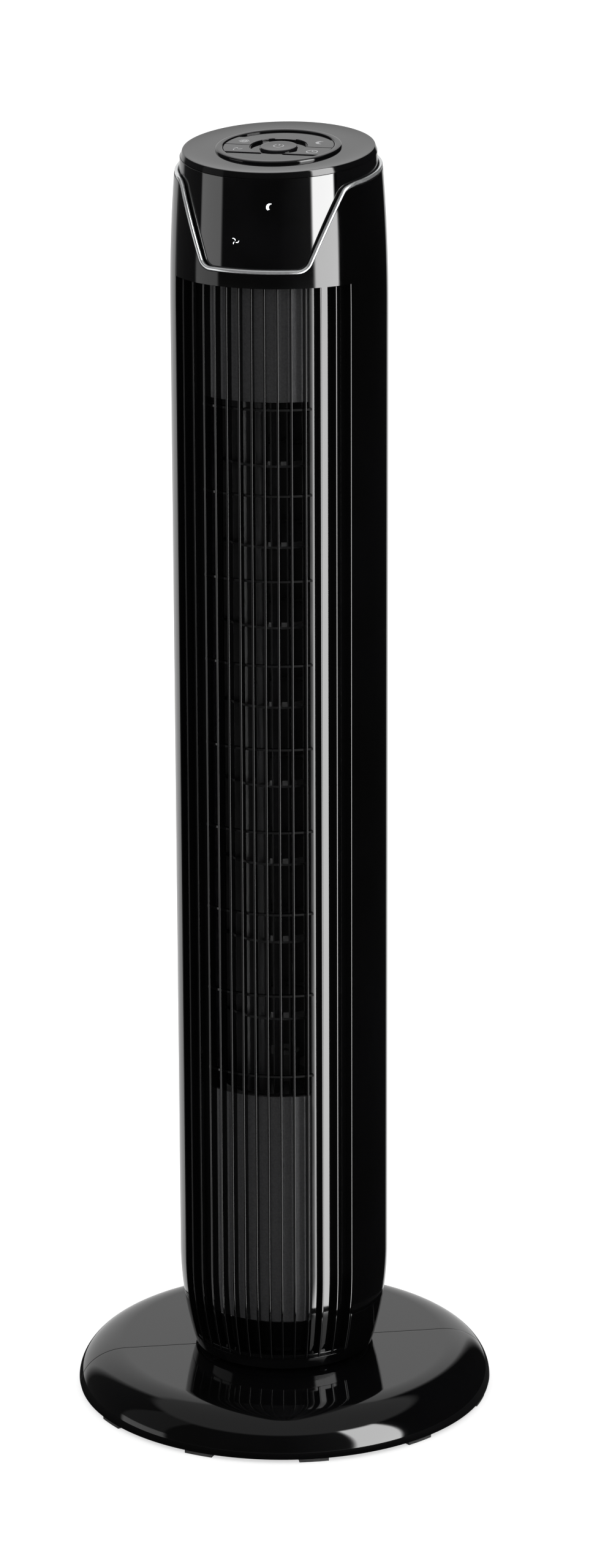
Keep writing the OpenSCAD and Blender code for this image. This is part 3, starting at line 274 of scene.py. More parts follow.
def brightTrim():
    finish = newFinish("brightTrim", (0.80, 0.81, 0.82), 0.22, metallic=0.82)
    varyColor(finish, 35, (0.74, 0.75, 0.76), (0.84, 0.85, 0.86))
    varyRoughness(finish, 120, 0.17, 0.27)
    grain(finish, 900, 0.03, 0.02)
    return finish


def satinBlack(name, level, roughness):
    finish = newFinish(name, (level, level, level * 1.08), roughness)
    varyColor(finish, 22, (level * 0.8,) * 3, (level * 1.2, level * 1.2, level * 1.3))
    varyRoughness(finish, 300, roughness - 0.06, roughness + 0.06)
    grain(finish, 1100, 0.12, 0.05)
    return finish


def texturedPanel():
    finish = newFinish("texturedPanel", (0.036, 0.036, 0.038), 0.55)
    varyColor(finish, 700, (0.030, 0.030, 0.032), (0.043, 0.043, 0.045))
    varyRoughness(finish, 900, 0.45, 0.65)
    grain(finish, 1300, 0.35, 0.12)
    return finish


def rubberFinish():
    finish = newFinish("rubber", (0.025, 0.025, 0.025), 0.75)
    varyColor(finish, 60, (0.02, 0.02, 0.02), (0.034, 0.034, 0.034))
    varyRoughness(finish, 200, 0.68, 0.86)
    grain(finish, 900, 0.25, 0.06)
    return finish


def metalFinish(name, dark, light, low, high, scale, stretch=(1, 1, 1)):
    finish = newFinish(name, light, (low + high) / 2, metallic=1.0)
    varyColor(finish, scale, dark, light, stretch)
    varyRoughness(finish, scale * 2, low, high, stretch)
    grain(finish, scale * 6, 0.08, 0.03, stretch)
    return finish


def plainFinish(name, dark, light, low, high, scale, stretch=(1, 1, 1)):
    finish = newFinish(name, light, (low + high) / 2)
    varyColor(finish, scale, dark, light, stretch)
    varyRoughness(finish, scale * 3, low, high, stretch)
    grain(finish, scale * 8, 0.12, 0.04, stretch)
    return finish


def litIcon():
    finish = newFinish("litIcon", (0.9, 0.92, 0.95), 0.4)
    shader = finish.node_tree.nodes["Principled BSDF"]
    shader.inputs["Emission Color"].default_value = (0.92, 0.96, 1.0, 1)
    shader.inputs["Emission Strength"].default_value = 1.6
    varyRoughness(finish, 400, 0.35, 0.5)
    return finish


def makeFinishes():
    return {
        "gloss_black": glossBlack("glossBlack", 0.0016),
        "head_black": glossBlack("headBlack", 0.003),
        "intake_black": satinBlack("intakeBlack", 0.016, 0.38),
        "lens": lensFinish(),
        "bright_trim": brightTrim(),
        "button_black": glossBlack("buttonBlack", 0.010),
        "textured_panel": texturedPanel(),
        "inner_black": satinBlack("innerBlack", 0.004, 0.5),
        "wheel_black": satinBlack("wheelBlack", 0.006, 0.42),
        "rubber": rubberFinish(),
        "steel": metalFinish("steel", (0.5, 0.5, 0.51), (0.68, 0.68, 0.69), 0.25, 0.4, 80, (1, 1, 6)),
        "nylon": plainFinish("nylon", (0.74, 0.71, 0.62), (0.84, 0.82, 0.74), 0.4, 0.55, 60),
        "board_green": plainFinish("boardGreen", (0.02, 0.12, 0.05), (0.035, 0.18, 0.075), 0.25, 0.4, 90),
        "led_white": plainFinish("ledWhite", (0.82, 0.82, 0.8), (0.92, 0.92, 0.9), 0.2, 0.3, 200),
        "small_parts": plainFinish("smallParts", (0.05, 0.05, 0.055), (0.075, 0.075, 0.08), 0.4, 0.55, 150),
        "bronze": metalFinish("bronze", (0.42, 0.29, 0.13), (0.58, 0.42, 0.22), 0.35, 0.5, 120),
        "laminations": metalFinish(
            "laminations", (0.2, 0.2, 0.21), (0.36, 0.36, 0.37), 0.4, 0.6, 20, (1, 1, 40)
        ),
        "copper": metalFinish("copper", (0.42, 0.16, 0.06), (0.66, 0.30, 0.14), 0.25, 0.4, 40, (1, 1, 20)),
        "capacitor_grey": plainFinish("capacitorGrey", (0.42,) * 3, (0.55,) * 3, 0.35, 0.5, 80),
        "loom_grey": plainFinish(
            "loomGrey", (0.09, 0.09, 0.1), (0.15, 0.15, 0.16), 0.5, 0.7, 50, (1, 1, 30)
        ),
    }


def dressNodes():
    # every carried-over node gets the finish of its slot
    for row in frame["record"]["subparts"]:
        node = frame["nodes"][row["node"]]
        node.data.materials.clear()
        node.data.materials.append(finishes[row["material_slot"]])


# modelling helpers
def deselect():
    if bpy.context.object and bpy.context.object.mode != "OBJECT":
        bpy.ops.object.mode_set(mode="OBJECT")
    bpy.ops.object.select_all(action="DESELECT")


def activate(piece):
    deselect()
    piece.select_set(True)
    bpy.context.view_layer.objects.active = piece


def editAll(piece):
    activate(piece)
    bpy.ops.object.mode_set(mode="EDIT")
    bpy.ops.mesh.select_all(action="SELECT")


def mend(piece):
    editAll(piece)
    bpy.ops.mesh.remove_doubles(threshold=0.000002)
    bpy.ops.mesh.normals_make_consistent(inside=False)
    bpy.ops.object.mode_set(mode="OBJECT")


def at(radius, phi, height):
    turn = math.radians(phi)
    return Vector((radius * math.sin(turn), -radius * math.cos(turn), height)) * mm


def drawOutline(name, points):
    # one vertex, drawn out from point to point, then closed with a face
    deselect()
    bpy.ops.mesh.primitive_plane_add(size=mm, location=points[0])
    piece = bpy.context.object
    piece.name = name
    bpy.ops.object.transform_apply(location=True, rotation=True, scale=True)
    bpy.ops.object.mode_set(mode="EDIT")
    bpy.ops.mesh.select_all(action="SELECT")
    bpy.ops.mesh.merge(type="CENTER")
    for here, there in zip(points, points[1:]):
        bpy.ops.mesh.extrude_region_move(TRANSFORM_OT_translate={"value": there - here})
    bpy.ops.mesh.select_all(action="SELECT")
    bpy.ops.mesh.edge_face_add()
    bpy.ops.object.mode_set(mode="OBJECT")
    return piece


def turnSector(name, profile, phi0, phi1, step=1.5):
    # profile holds (radius, height) points; spin turns clockwise, so the angle is negative
    piece = drawOutline(name, [at(r, phi0, z) for r, z in profile])
    editAll(piece)
    steps = max(2, math.ceil((phi1 - phi0) / step))
    bpy.ops.mesh.spin(steps=steps, angle=-math.radians(phi1 - phi0), center=(0, 0, 0), axis=(0, 0, 1))
    mend(piece)
    return piece


def turnRing(name, profile, steps=240):
    piece = drawOutline(name, [at(r, 180, z) for r, z in profile])
    editAll(piece)
    bpy.ops.mesh.delete(type="ONLY_FACE")
    bpy.ops.mesh.select_all(action="SELECT")
    bpy.ops.mesh.spin(steps=steps, angle=2 * math.pi, center=(0, 0, 0), axis=(0, 0, 1))
    mend(piece)
    return piece


def drawBlock(name, points, way):
    # an outline drawn out along one direction
    piece = drawOutline(name, points)
    editAll(piece)
    bpy.ops.mesh.extrude_region_move(TRANSFORM_OT_translate={"value": way})
    mend(piece)
    return piece


def applyModifier(piece, kind, **settings):
    activate(piece)
    modifier = piece.modifiers.new(kind.lower(), kind)
    for key, value in settings.items():
        setattr(modifier, key, value)
    bpy.ops.object.modifier_apply(modifier=modifier.name)


def cutWith(piece, cutter, operation="DIFFERENCE"):
    applyModifier(piece, "BOOLEAN", object=cutter, operation=operation, solver="EXACT")
    bpy.data.objects.remove(cutter)


def cutAbove(piece, height, lean):
    # trims what lies above a plane that rises to the back
    editAll(piece)
    slope = math.radians(lean)
    bpy.ops.mesh.bisect(
        plane_co=(0, 0, height * mm), plane_no=(0, -math.sin(slope), math.cos(slope)),
        use_fill=True, clear_outer=True, clear_inner=False,
    )
    bpy.ops.object.mode_set(mode="OBJECT")


def roundEdges(piece, width, segments=2, angle=40):
    applyModifier(
        piece, "BEVEL", width=width * mm, segments=segments, limit_method="ANGLE",
        angle_limit=math.radians(angle), use_clamp_overlap=True,
    )


def smooth(piece, angle=32):
    activate(piece)
    bpy.ops.object.shade_smooth_by_angle(angle=math.radians(angle))


def makeRod(name, radius, length, place, vertices=32, turned=(0, 0, 0)):
    deselect()
    bpy.ops.mesh.primitive_cylinder_add(
        vertices=vertices, radius=radius * mm, depth=length * mm, location=place, rotation=turned
    )
    bpy.context.object.name = name
    return bpy.context.object


def copyTurned(piece, name, phi):
    other = piece.copy()
    other.data = piece.data.copy()
    other.name = name
    other.data.transform(Matrix.Rotation(math.radians(phi), 4, "Z"))
    bpy.context.scene.collection.objects.link(other)
    return other


def copyMoved(piece, name, move):
    other = piece.copy()
    other.data = piece.data.copy()
    other.name = name
    other.data.transform(Matrix.Translation(move))
    bpy.context.scene.collection.objects.link(other)
    return other


def joined(name, pieces):
    deselect()
    for piece in pieces:
        piece.select_set(True)
    bpy.context.view_layer.objects.active = pieces[0]
    bpy.ops.object.join()
    pieces[0].name = name
    return pieces[0]


def onDeck(piece):
    # lifts a piece that was modelled flat into the slanted deck's place
    lean = Matrix.Rotation(math.radians(tower["tilt"]), 4, "X")
    piece.data.transform(Matrix.Translation((0, 0, deck["height"] * mm)) @ lean)
    return piece


def finishPiece(piece, body, slotName, nodes, angle=32, finish=None):
    smooth(piece, angle)
    applyModifier(piece, "WEIGHTED_NORMAL", keep_sharp=True, weight=80)
    piece.data.materials.clear()
    piece.data.materials.append(finish or finishes[slotName])
    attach(piece, body)
    if nodes:
        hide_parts(*nodes)


# the tower's outline
def arcIn(radius, rise):
    return radius - math.sqrt(radius * radius - rise * rise)


def outerRadius(height):
    footTop = tower["low"] + tower["footRise"]
    headLow = tower["rim"] - tower["headDrop"]
    radius = tower["radius"]
    if height < footTop:
        radius -= arcIn(tower["footCurve"], footTop - height)
    if height > headLow:
        radius -= arcIn(tower["headCurve"], height - headLow)
    return radius


def levels(low, high):
    foot = [tower["low"] + tower["footRise"] * i / 14 for i in range(15)]
    head = [tower["rim"] - tower["headDrop"] + tower["headDrop"] * 1.15 * i / 12 for i in range(13)]
    return [low] + [z for z in foot + head if low + 0.5 < z < high - 0.5] + [high]


def wallProfile(low, high, depthOut, depthIn):
    up = levels(low, high)
    outer = [(outerRadius(z) - depthOut, z) for z in up]
    return outer + [(outerRadius(z) - depthIn, z) for z in reversed(up)]


notchPlan = {"drop": 62.0, "half": 37.3, "lean": 21.3, "lowRound": 10.0, "topRound": 6.0, "back": 30.0}


def notchOutline(off):
    # the front cut-out as (x, z) points, moved inwards by off
    lean = math.radians(notchPlan["lean"])
    lowRound, topRound = notchPlan["lowRound"], notchPlan["topRound"]
    notchZ = tower["rim"] - notchPlan["drop"]
    cornerX = tower["radius"] * math.sin(math.radians(tower["frontPhi"]))
    cornerY = math.sqrt(outerRadius(tower["rim"]) ** 2 - cornerX ** 2)
    slope = math.tan(math.radians(tower["tilt"]))
    rimLean = math.atan(slope * cornerX / cornerY)
    cornerZ = tower["rim"] - tower["trim"] - slope * cornerY
    run = lowRound * (1 - math.sin(lean)) / math.cos(lean)
    lowC = Vector((notchPlan["half"] - lowRound * math.cos(lean) + run * math.sin(lean), notchZ + lowRound))
    side = Vector((notchPlan["half"] + topRound * math.cos(lean), notchZ - topRound * math.sin(lean)))
    rim = Vector((cornerX + topRound * math.sin(rimLean), cornerZ - topRound * math.cos(rimLean)))
    across = math.sin(lean) * math.sin(rimLean) - math.cos(lean) * math.cos(rimLean)
    reach = ((rim.x - side.x) * math.sin(rimLean) - (rim.y - side.y) * math.cos(rimLean)) / across
    topC = side + reach * Vector((math.sin(lean), math.cos(lean)))
    right = []
    for i in range(11):
        a = -math.pi / 2 + (math.pi / 2 - lean) * i / 10
        right.append(lowC + (lowRound - off) * Vector((math.cos(a), math.sin(a))))
    for i in range(9):
        a = math.pi - lean - (math.pi / 2 - lean - rimLean) * i / 8
        right.append(topC + (topRound + off) * Vector((math.cos(a), math.sin(a))))
    last = right[-1]
    right.append(last + 60 * Vector((math.cos(rimLean), math.sin(rimLean))))
    right.append(last + Vector((60, 60)))
    left = [Vector((-p.x, p.y)) for p in reversed(right)]
    return right + left


def notchCutter(off):
    points = [Vector((p.x, -notchPlan["back"], p.y)) * mm for p in notchOutline(off)]
    return drawBlock("notchCutter", points, Vector((0, -70 * mm, 0)))


print("studio")
makeCamera()
makeStudio()
makeFloor()
finishes = makeFinishes()
iconLight = litIcon()
iconPrint = plainFinish("iconPrint", (0.40, 0.40, 0.41), (0.48, 0.48, 0.49), 0.35, 0.5, 300)
dressNodes()


# base
base = {
    "radius": 150.0, "top": 32.0, "shoulder": 33.0, "lip": 5.0, "foot": 2.5, "hole": 48.2,
    "wall": 2.5, "turn": 23.0, "seam": 0.15, "points": 30, "lipWide": 14.0, "edge": 0.35,
    "cordRadius": 6.0, "cordHeight": 12.5, "cordOut": 140.0,
}


def shoulderLine(inset):
    rise = base["top"] - base["lip"] - inset
    reach = base["shoulder"] - inset
    centre = base["radius"] - base["shoulder"]
    line = []
    for i in range(base["points"] + 1):
        a = math.pi / 2 * i / base["points"]
        line.append((centre + reach * math.cos(a), base["lip"] + rise * math.sin(a)))
    return line


def makeBaseHalf(name, node, front):
    lip = base["radius"] - base["wall"] - base["lipWide"]
    profile = (
        [(base["radius"] - 0.6, base["foot"])] + shoulderLine(0)
        + [(base["hole"], base["top"]), (base["hole"], base["top"] - base["wall"])]
        + list(reversed(shoulderLine(base["wall"])))
        + [(lip, base["lip"]), (lip, base["foot"])]
    )
    start = -90 if front else 90
    half = turnSector(name, profile, start, start + 180)
    editAll(half)
    way = -1 if front else 1
    bpy.ops.mesh.bisect(
        plane_co=(0, way * base["seam"] * mm, 0), plane_no=(0, -way, 0),
        use_fill=True, clear_outer=True, clear_inner=False,
    )
    bpy.ops.object.mode_set(mode="OBJECT")
    roundEdges(half, base["edge"], 3, 50)
    if not front:
        cordPlace = Vector((0, base["cordOut"], base["cordHeight"])) * mm
        cutWith(half, makeRod("cordHole", base["cordRadius"], 30, cordPlace, 48, (math.pi / 2, 0, 0)))
    half.data.transform(Matrix.Rotation(math.radians(base["turn"]), 4, "Z"))
    finishPiece(half, "base", "gloss_black", [node])


makeBaseHalf("baseFront", "base_front_half", True)
makeBaseHalf("baseRear", "base_rear_half", False)
print("base")


# tower shells
skirt = {"step": 73.5, "tongueLow": 68.0, "tongueHigh": 82.0, "fit": 0.2, "kickLow": 40.0, "edge": 0.4}


def makeSkirt():
    low, high, wall = tower["low"], tower["grilleLow"], tower["wall"]
    foot = turnRing("lowerSkirt", wallProfile(low, high, 0, wall))
    step, top, under = skirt["step"], skirt["tongueHigh"], skirt["tongueLow"]
    inner = outerRadius(step + 0.5) - wall - skirt["fit"]
    up = [(outerRadius(z), z) for z in levels(high, step)]
    tongue = [(inner, step), (inner, top), (inner - wall, top), (inner - wall, under)]
    down = [(outerRadius(z) - wall, z) for z in reversed(levels(high, under))]
    back = turnSector("skirtBack", up + tongue + down, tower["frontPhi"], 360 - tower["frontPhi"])
    kickPhi = tower["frontPhi"] - 1
    kickProfile = wallProfile(skirt["kickLow"], tower["panelLow"], tower["frameOut"], tower["frameIn"])
    kick = turnSector("kickWall", kickProfile, -kickPhi, kickPhi)
    for part in (foot, back, kick):
        roundEdges(part, skirt["edge"], 2, 50)
    finishPiece(joined("lowerSkirt", [foot, back, kick]), "tower", "gloss_black", ["lower_skirt"])


grille = {
    "finSide": 6, "pitch": 9.0, "thick": 1.5, "deep": 6.0, "backing": 2.0, "border": 1.3, "bar": 3.0,
    "barSink": 0.8, "finSink": 0.6, "finRound": 0.45, "firstTie": 15.6, "tiePitch": 60.0, "tieHigh": 1.5,
    "tieThick": 1.5, "tieSink": 1.3,
}


def makeFrontPanel():
    phi, duct = tower["frontPhi"], tower["ductPhi"]
    low, high = tower["grilleLow"], tower["grilleHigh"]
    deep, back = grille["deep"], grille["deep"] + grille["backing"]
    header = turnSector("frontPanel", wallProfile(high, tower["rim"] + 9, 0, tower["wall"]), -phi, phi)
    cutAbove(header, tower["rim"] - tower["trim"], tower["tilt"])
    cutWith(header, notchCutter(0))
    parts = [header]
    shelf = turnSector("shelf", wallProfile(high, high + 2, 1.25, back), -phi, phi)
    parts.append(shelf)
    for side in (-1, 1):
        ends = sorted((side * phi, side * duct))
        parts.append(turnSector("backing", wallProfile(low, high, deep, back), *ends))
        ends = sorted((side * phi, side * (phi - grille["border"])))
        border = turnSector("border", wallProfile(low, high, 0, deep + 1), *ends, step=0.65)
        roundEdges(border, 0.4, 2, 50)
        parts.append(border)
    barProfile = wallProfile(low, low + grille["bar"], grille["barSink"], deep + grille["barSink"])
    bar = turnSector("bar", barProfile, -phi + 0.5, phi - 0.5)
    roundEdges(bar, 0.5, 2, 50)
    parts.append(bar)
    outline = [at(r, 0, z) for r, z in wallProfile(low, high, 0, deep + grille["finSink"])]
    for point in outline:
        point.x -= grille["thick"] / 2 * mm
    fin = drawBlock("fin", outline, Vector((grille["thick"] * mm, 0, 0)))
    roundEdges(fin, grille["finRound"], 3, 50)
    for k in range(-grille["finSide"], grille["finSide"] + 1):
        lean = math.degrees(math.asin(k * grille["pitch"] / tower["radius"]))
        parts.append(copyTurned(fin, "fin", lean))
    bpy.data.objects.remove(fin)
    z = tower["windowLow"] + grille["firstTie"]
    while z <= tower["windowHigh"]:
        tieDepths = deep - grille["tieThick"], deep + grille["tieSink"]
        tieProfile = wallProfile(z, z + grille["tieHigh"], *tieDepths)
        parts.append(turnSector("tie", tieProfile, -duct - 1, duct + 1, 3))
        z += grille["tiePitch"]
    finishPiece(joined("frontPanel", parts), "tower", "gloss_black", ["front_panel"])


intake = {
    "phi": 62.0, "low": 200.0, "high": 790.5, "fins": 23, "rings": 13, "thick": 1.6, "side": 2.5, "bar": 6.0,
    "frame": (0.2, 4.5), "fin": (0.6, 4.2), "ring": (1.5, 3.9),
}
housing = {
    "low": 74.0, "inRound": 1.7, "upRound": 10.0, "screwPhi": 112.0, "screwHeights": [92.0, 227.5, 761.5],
    "screwHole": 3.8, "holeOut": 1.3,
}


def makeRearHousing():
    phi, low, wall = tower["frontPhi"], housing["low"], tower["wall"]
    inRound, upRound = housing["inRound"], housing["upRound"]
    outer = []
    for i in range(9):
        a = math.pi / 2 * i / 8
        outer.append((tower["radius"] - inRound * (1 - math.sin(a)), low + upRound * (1 - math.cos(a))))
    outer = [(min(r, outerRadius(z)), z) for r, z in outer]
    up = [z for z in levels(low + upRound, tower["rim"] + 12)][1:]
    down = levels(low, tower["rim"] + 12)
    outer += [(outerRadius(z), z) for z in up]
    inner = [(outerRadius(z) - wall, z) for z in reversed(down)]
    shell = turnSector("rearHousing", outer + inner, phi, 360 - phi)
    cutAbove(shell, tower["rim"] - tower["trim"], tower["tilt"])
    cutWith(shell, notchCutter(0))
    window = [(80, intake["low"]), (80, intake["high"]), (66, intake["high"]), (66, intake["low"])]
    cutWith(shell, turnSector("window", window, 180 - intake["phi"], 180 + intake["phi"]))
    for side in (-1, 1):
        screwPhi = side * housing["screwPhi"]
        for z in housing["screwHeights"]:
            place = at(tower["radius"] + housing["holeOut"], screwPhi, z)
            turned = (math.pi / 2, 0, math.radians(screwPhi))
            cutWith(shell, makeRod("screwHole", housing["screwHole"], 6, place, 40, turned))
    finishPiece(shell, "tower", "gloss_black", ["rear_housing"])


def makeIntake():
    middle, half = 180.0, intake["phi"]
    low, high, thick = intake["low"], intake["high"], intake["thick"]
    parts = []
    side, bar = intake["side"], intake["bar"]
    for z0, z1 in ((low, low + bar), (high - bar, high)):
        barProfile = wallProfile(z0, z1, *intake["frame"])
        parts.append(turnSector("intakeBar", barProfile, middle - half, middle + half))
    for phi0 in (middle - half, middle + half - side):
        sideProfile = wallProfile(low, high, *intake["frame"])
        parts.append(turnSector("intakeSide", sideProfile, phi0, phi0 + side, side / 2))
    for part in parts:
        roundEdges(part, 0.4, 2, 50)
    outline = [at(r, 180, z) for r, z in wallProfile(low + 1, high - 1, *intake["fin"])]
    for point in outline:
        point.x -= thick / 2 * mm
    fin = drawBlock("intakeFin", outline, Vector((thick * mm, 0, 0)))
    roundEdges(fin, 0.45, 2, 50)
    for i in range(1, intake["fins"] + 1):
        parts.append(copyTurned(fin, "intakeFin", -half + 2 * half * i / (intake["fins"] + 1)))
    bpy.data.objects.remove(fin)
    first = low + (high - low) / (intake["rings"] + 1)
    ringProfile = wallProfile(first - thick / 2, first + thick / 2, *intake["ring"])
    ring = turnSector("intakeRing", ringProfile, middle - half + 1, middle + half - 1, 2)
    roundEdges(ring, 0.3, 2, 50)
    for i in range(intake["rings"]):
        parts.append(copyMoved(ring, "intakeRing", Vector((0, 0, (first - low) * i * mm))))
    bpy.data.objects.remove(ring)
    finishPiece(joined("intakeGrille", parts), "tower", "intake_black", ["intake_grille"])


def beadPath():
    # down and up the cut-out in front, then round the sides and the back along the rim's plane
    half = tower["trim"] / 2
    slope = math.tan(math.radians(tower["tilt"]))
    outline = notchOutline(half)
    right = outline[:len(outline) // 2 - 2]
    front = [Vector((-p.x, p.y)) for p in reversed(right)] + right
    path = []
    for p, q in zip(front, front[1:]):
        count = max(1, round((q - p).length / 1.2))
        for i in range(count):
            here = p.lerp(q, i / count)
            radius = outerRadius(here.y) - half
            path.append(Vector((here.x, -math.sqrt(radius ** 2 - here.x ** 2), here.y)) * mm)
    radius = outerRadius(tower["rim"]) - half
    start = math.degrees(math.asin(front[-1].x / radius))
    steps = 200
    for i in range(steps + 1):
        phi = start + (360 - 2 * start) * i / steps
        y = -radius * math.cos(math.radians(phi))
        path.append(at(radius, phi, tower["rim"] - half + slope * y))
    return path


def makeTrim():
    bead = drawOutline("trimRing", beadPath())
    editAll(bead)
    bpy.ops.mesh.delete(type="ONLY_FACE")
    bpy.ops.object.mode_set(mode="OBJECT")
    bpy.ops.object.convert(target="CURVE")
    bead = bpy.context.object
    bead.data.bevel_depth = tower["trim"] / 2 * mm
    bead.data.bevel_resolution = 6
    bpy.ops.object.convert(target="MESH")
    bead = bpy.context.object
    mend(bead)
    finishPiece(bead, "tower", "bright_trim", ["trim_ring"], 60)


def makeOutletPanel():
    out, inner, duct = tower["frameOut"], tower["frameIn"], tower["ductPhi"]
    low, high, sidePhi = tower["panelLow"], tower["grilleHigh"], 7
    bars = [
        (low, tower["windowLow"], -duct, duct), (tower["windowHigh"], high, -duct, duct),
        (low, high, -duct - sidePhi, -duct), (low, high, duct, duct + sidePhi),
    ]
    parts = [turnSector("panelBar", wallProfile(z0, z1, out, inner), a, b) for z0, z1, a, b in bars]
    finishPiece(joined("outletPanel", parts), "tower", "textured_panel", ["outlet_frame"])


screwPlan = {"head": 3.5, "high": 1.4, "shank": 1.75, "length": 11.0, "cross": (3.6, 0.8, 1.6), "seat": 1.7}


def makeHousingScrews():
    # a pan head with a cross recess, modelled upright and copied to its six places
    high, length = screwPlan["high"], screwPlan["length"]
    head = makeRod("housingScrews", screwPlan["head"], high, (0, 0, high / 2 * mm), 40)
    roundEdges(head, 0.5, 3, 50)
    deselect()
    bpy.ops.mesh.primitive_cube_add(size=mm, location=(0, 0, high * mm), scale=screwPlan["cross"])
    blade = bpy.context.object
    other = copyTurned(blade, "cross", 90)
    cutWith(head, blade)
    cutWith(head, other)
    shank = makeRod("shank", screwPlan["shank"], length, (0, 0, -length / 2 * mm), 24)
    screw = joined("housingScrews", [head, shank])
    places = []
    for side in (-1, 1):
        for z in housing["screwHeights"]:
            turned = Matrix.Rotation(math.radians(side * housing["screwPhi"]), 4, "Z")
            lift = Matrix.Translation((0, -(tower["radius"] - screwPlan["seat"]) * mm, z * mm))
            copied = screw.copy()
            copied.data = screw.data.copy()
            copied.data.transform(turned @ lift @ Matrix.Rotation(math.pi / 2, 4, "X"))
            bpy.context.scene.collection.objects.link(copied)
            places.append(copied)
    bpy.data.objects.remove(screw)
    finishPiece(joined("housingScrews", places), "tower", "steel", ["housing_screws"])


makeSkirt()
makeFrontPanel()
makeRearHousing()
makeIntake()
makeTrim()
makeOutletPanel()
makeHousingScrews()
print("tower shells")


# head
pod = {
    "low": 828.0, "high": 916.5, "lowRadius": 71.02, "highRadius": 66.85, "wall": 2.2, "bore": 15.0,
    "legRadius": 5.0, "legLength": 66.0, "legAt": 48.0, "legHeight": 796.0,
}
lens = {"low": 835.0, "high": 904.5, "phi": 50.0, "thick": 1.5}


headTop = deck["height"] - deck["bevelHigh"] / math.cos(math.radians(tower["tilt"])) - deck["seat"]


def podRadius(z):
    share = (z - pod["low"]) / (pod["high"] - pod["low"])
    return pod["lowRadius"] + (pod["highRadius"] - pod["lowRadius"]) * share


def lensProfile(grow, out):
    low, high = lens["low"] - grow, lens["high"] + grow
    return [
        (podRadius(low) + out, low), (podRadius(high) + out, high),
        (podRadius(high) - lens["thick"], high), (podRadius(low) - lens["thick"], low),
    ]


def makeHead():
    low, high, wall = pod["low"], pod["high"], pod["wall"]
    profile = [
        (pod["bore"], low), (podRadius(low), low), (podRadius(high), high), (podRadius(high) - wall, high),
        (podRadius(low + 2) - wall, low + 2), (pod["bore"], low + 2),
    ]
    shell = turnRing("headShell", profile, 300)
    cutAbove(shell, headTop, tower["tilt"])
    phi = lens["phi"] + 0.12
    cutWith(shell, turnSector("lensCutter", lensProfile(0.12, 2), -phi, phi))
    legs = [shell]
    for i in range(4):
        place = at(pod["legAt"], 45 + 90 * i, pod["legHeight"])
        legs.append(makeRod("leg", pod["legRadius"], pod["legLength"], place))
        roundEdges(legs[-1], 0.5, 2, 50)
    finishPiece(joined("headShell", legs), "tower", "head_black", ["head_shell"])
    pane = turnSector("displayWindow", lensProfile(0, 0), -lens["phi"], lens["phi"])
    cutAbove(pane, headTop, tower["tilt"])
    roundEdges(pane, 0.2, 2, 50)
    finishPiece(pane, "tower", "lens", ["display_window"])


def makeDeck():
    edge = podRadius(deck["height"] - deck["bevelHigh"]) - 0.1
    rise, dishStart, dishEnd = deck["dish"], 48.0, edge - 1.9
    plateIn, plateLow = deck["ringIn"] - 0.1, -deck["plateThick"]
    under, lipLow, lipIn = -deck["under"], -deck["lipLow"], deck["lipIn"]
    profile = [(plateIn, plateLow), (plateIn, -rise), (deck["ringOut"] + 1.4, -rise)]
    for i in range(15):
        share = i / 14
        profile.append((dishStart + (dishEnd - dishStart) * share, -rise + rise * share ** 2.5))
    profile += [
        (edge - 1.5, -0.15), (edge - 1.2, -0.6), (edge, -deck["bevelHigh"]), (62, -deck["bevelHigh"]),
        (50, under), (39, under), (39, lipLow), (lipIn, lipLow), (lipIn, plateLow),
    ]
    top = turnRing("topDeck", profile, 300)
    roundEdges(top, 0.25, 2, 55)
    finishPiece(onDeck(top), "tower", "head_black", ["top_deck"], 28)
    r, ringIn = deck["ringOut"], deck["ringIn"]
    low, high = -deck["dish"], deck["ringTop"]
    profile = [
        (ringIn, low), (r, low), (r, high - 1.0), (r - 0.25, high - 0.5), (r - 0.8, high - 0.15),
        (r - 1.6, high), (ringIn + 1.0, high), (ringIn + 0.4, high - 0.2), (ringIn, high - 0.7),
    ]
    ring = turnRing("controlRing", profile, 240)
    finishPiece(onDeck(ring), "tower", "head_black", ["control_ring"], 35)


buttons = {
    "inner": 19.8, "outer": 37.9, "half": 18.5, "split": 0.3, "gap": 0.3, "top": 0.6, "low": -1.2,
    "collarOut": 34.6, "collarLow": -3.8, "stem": 2.0, "stemLength": 2.4,
}


def buttonOutline(inner, outer, near, far, xSign, ySign, height):
    # between two radii, and between two distances from the middle line
    points = []
    for i in range(13):
        a = math.asin(near / inner) + (math.asin(far / inner) - math.asin(near / inner)) * i / 12
        points.append((inner * math.cos(a), inner * math.sin(a)))
    for i in range(17):
        a = math.asin(far / outer) + (math.asin(near / outer) - math.asin(far / outer)) * i / 16
        points.append((outer * math.cos(a), outer * math.sin(a)))
    return [Vector((x * xSign, y * ySign, height)) * mm for x, y in points]


def makeStem(x, y):
    place = Vector((x, y, buttons["collarLow"])) * mm
    return makeRod("stem", buttons["stem"], buttons["stemLength"], place, 24)


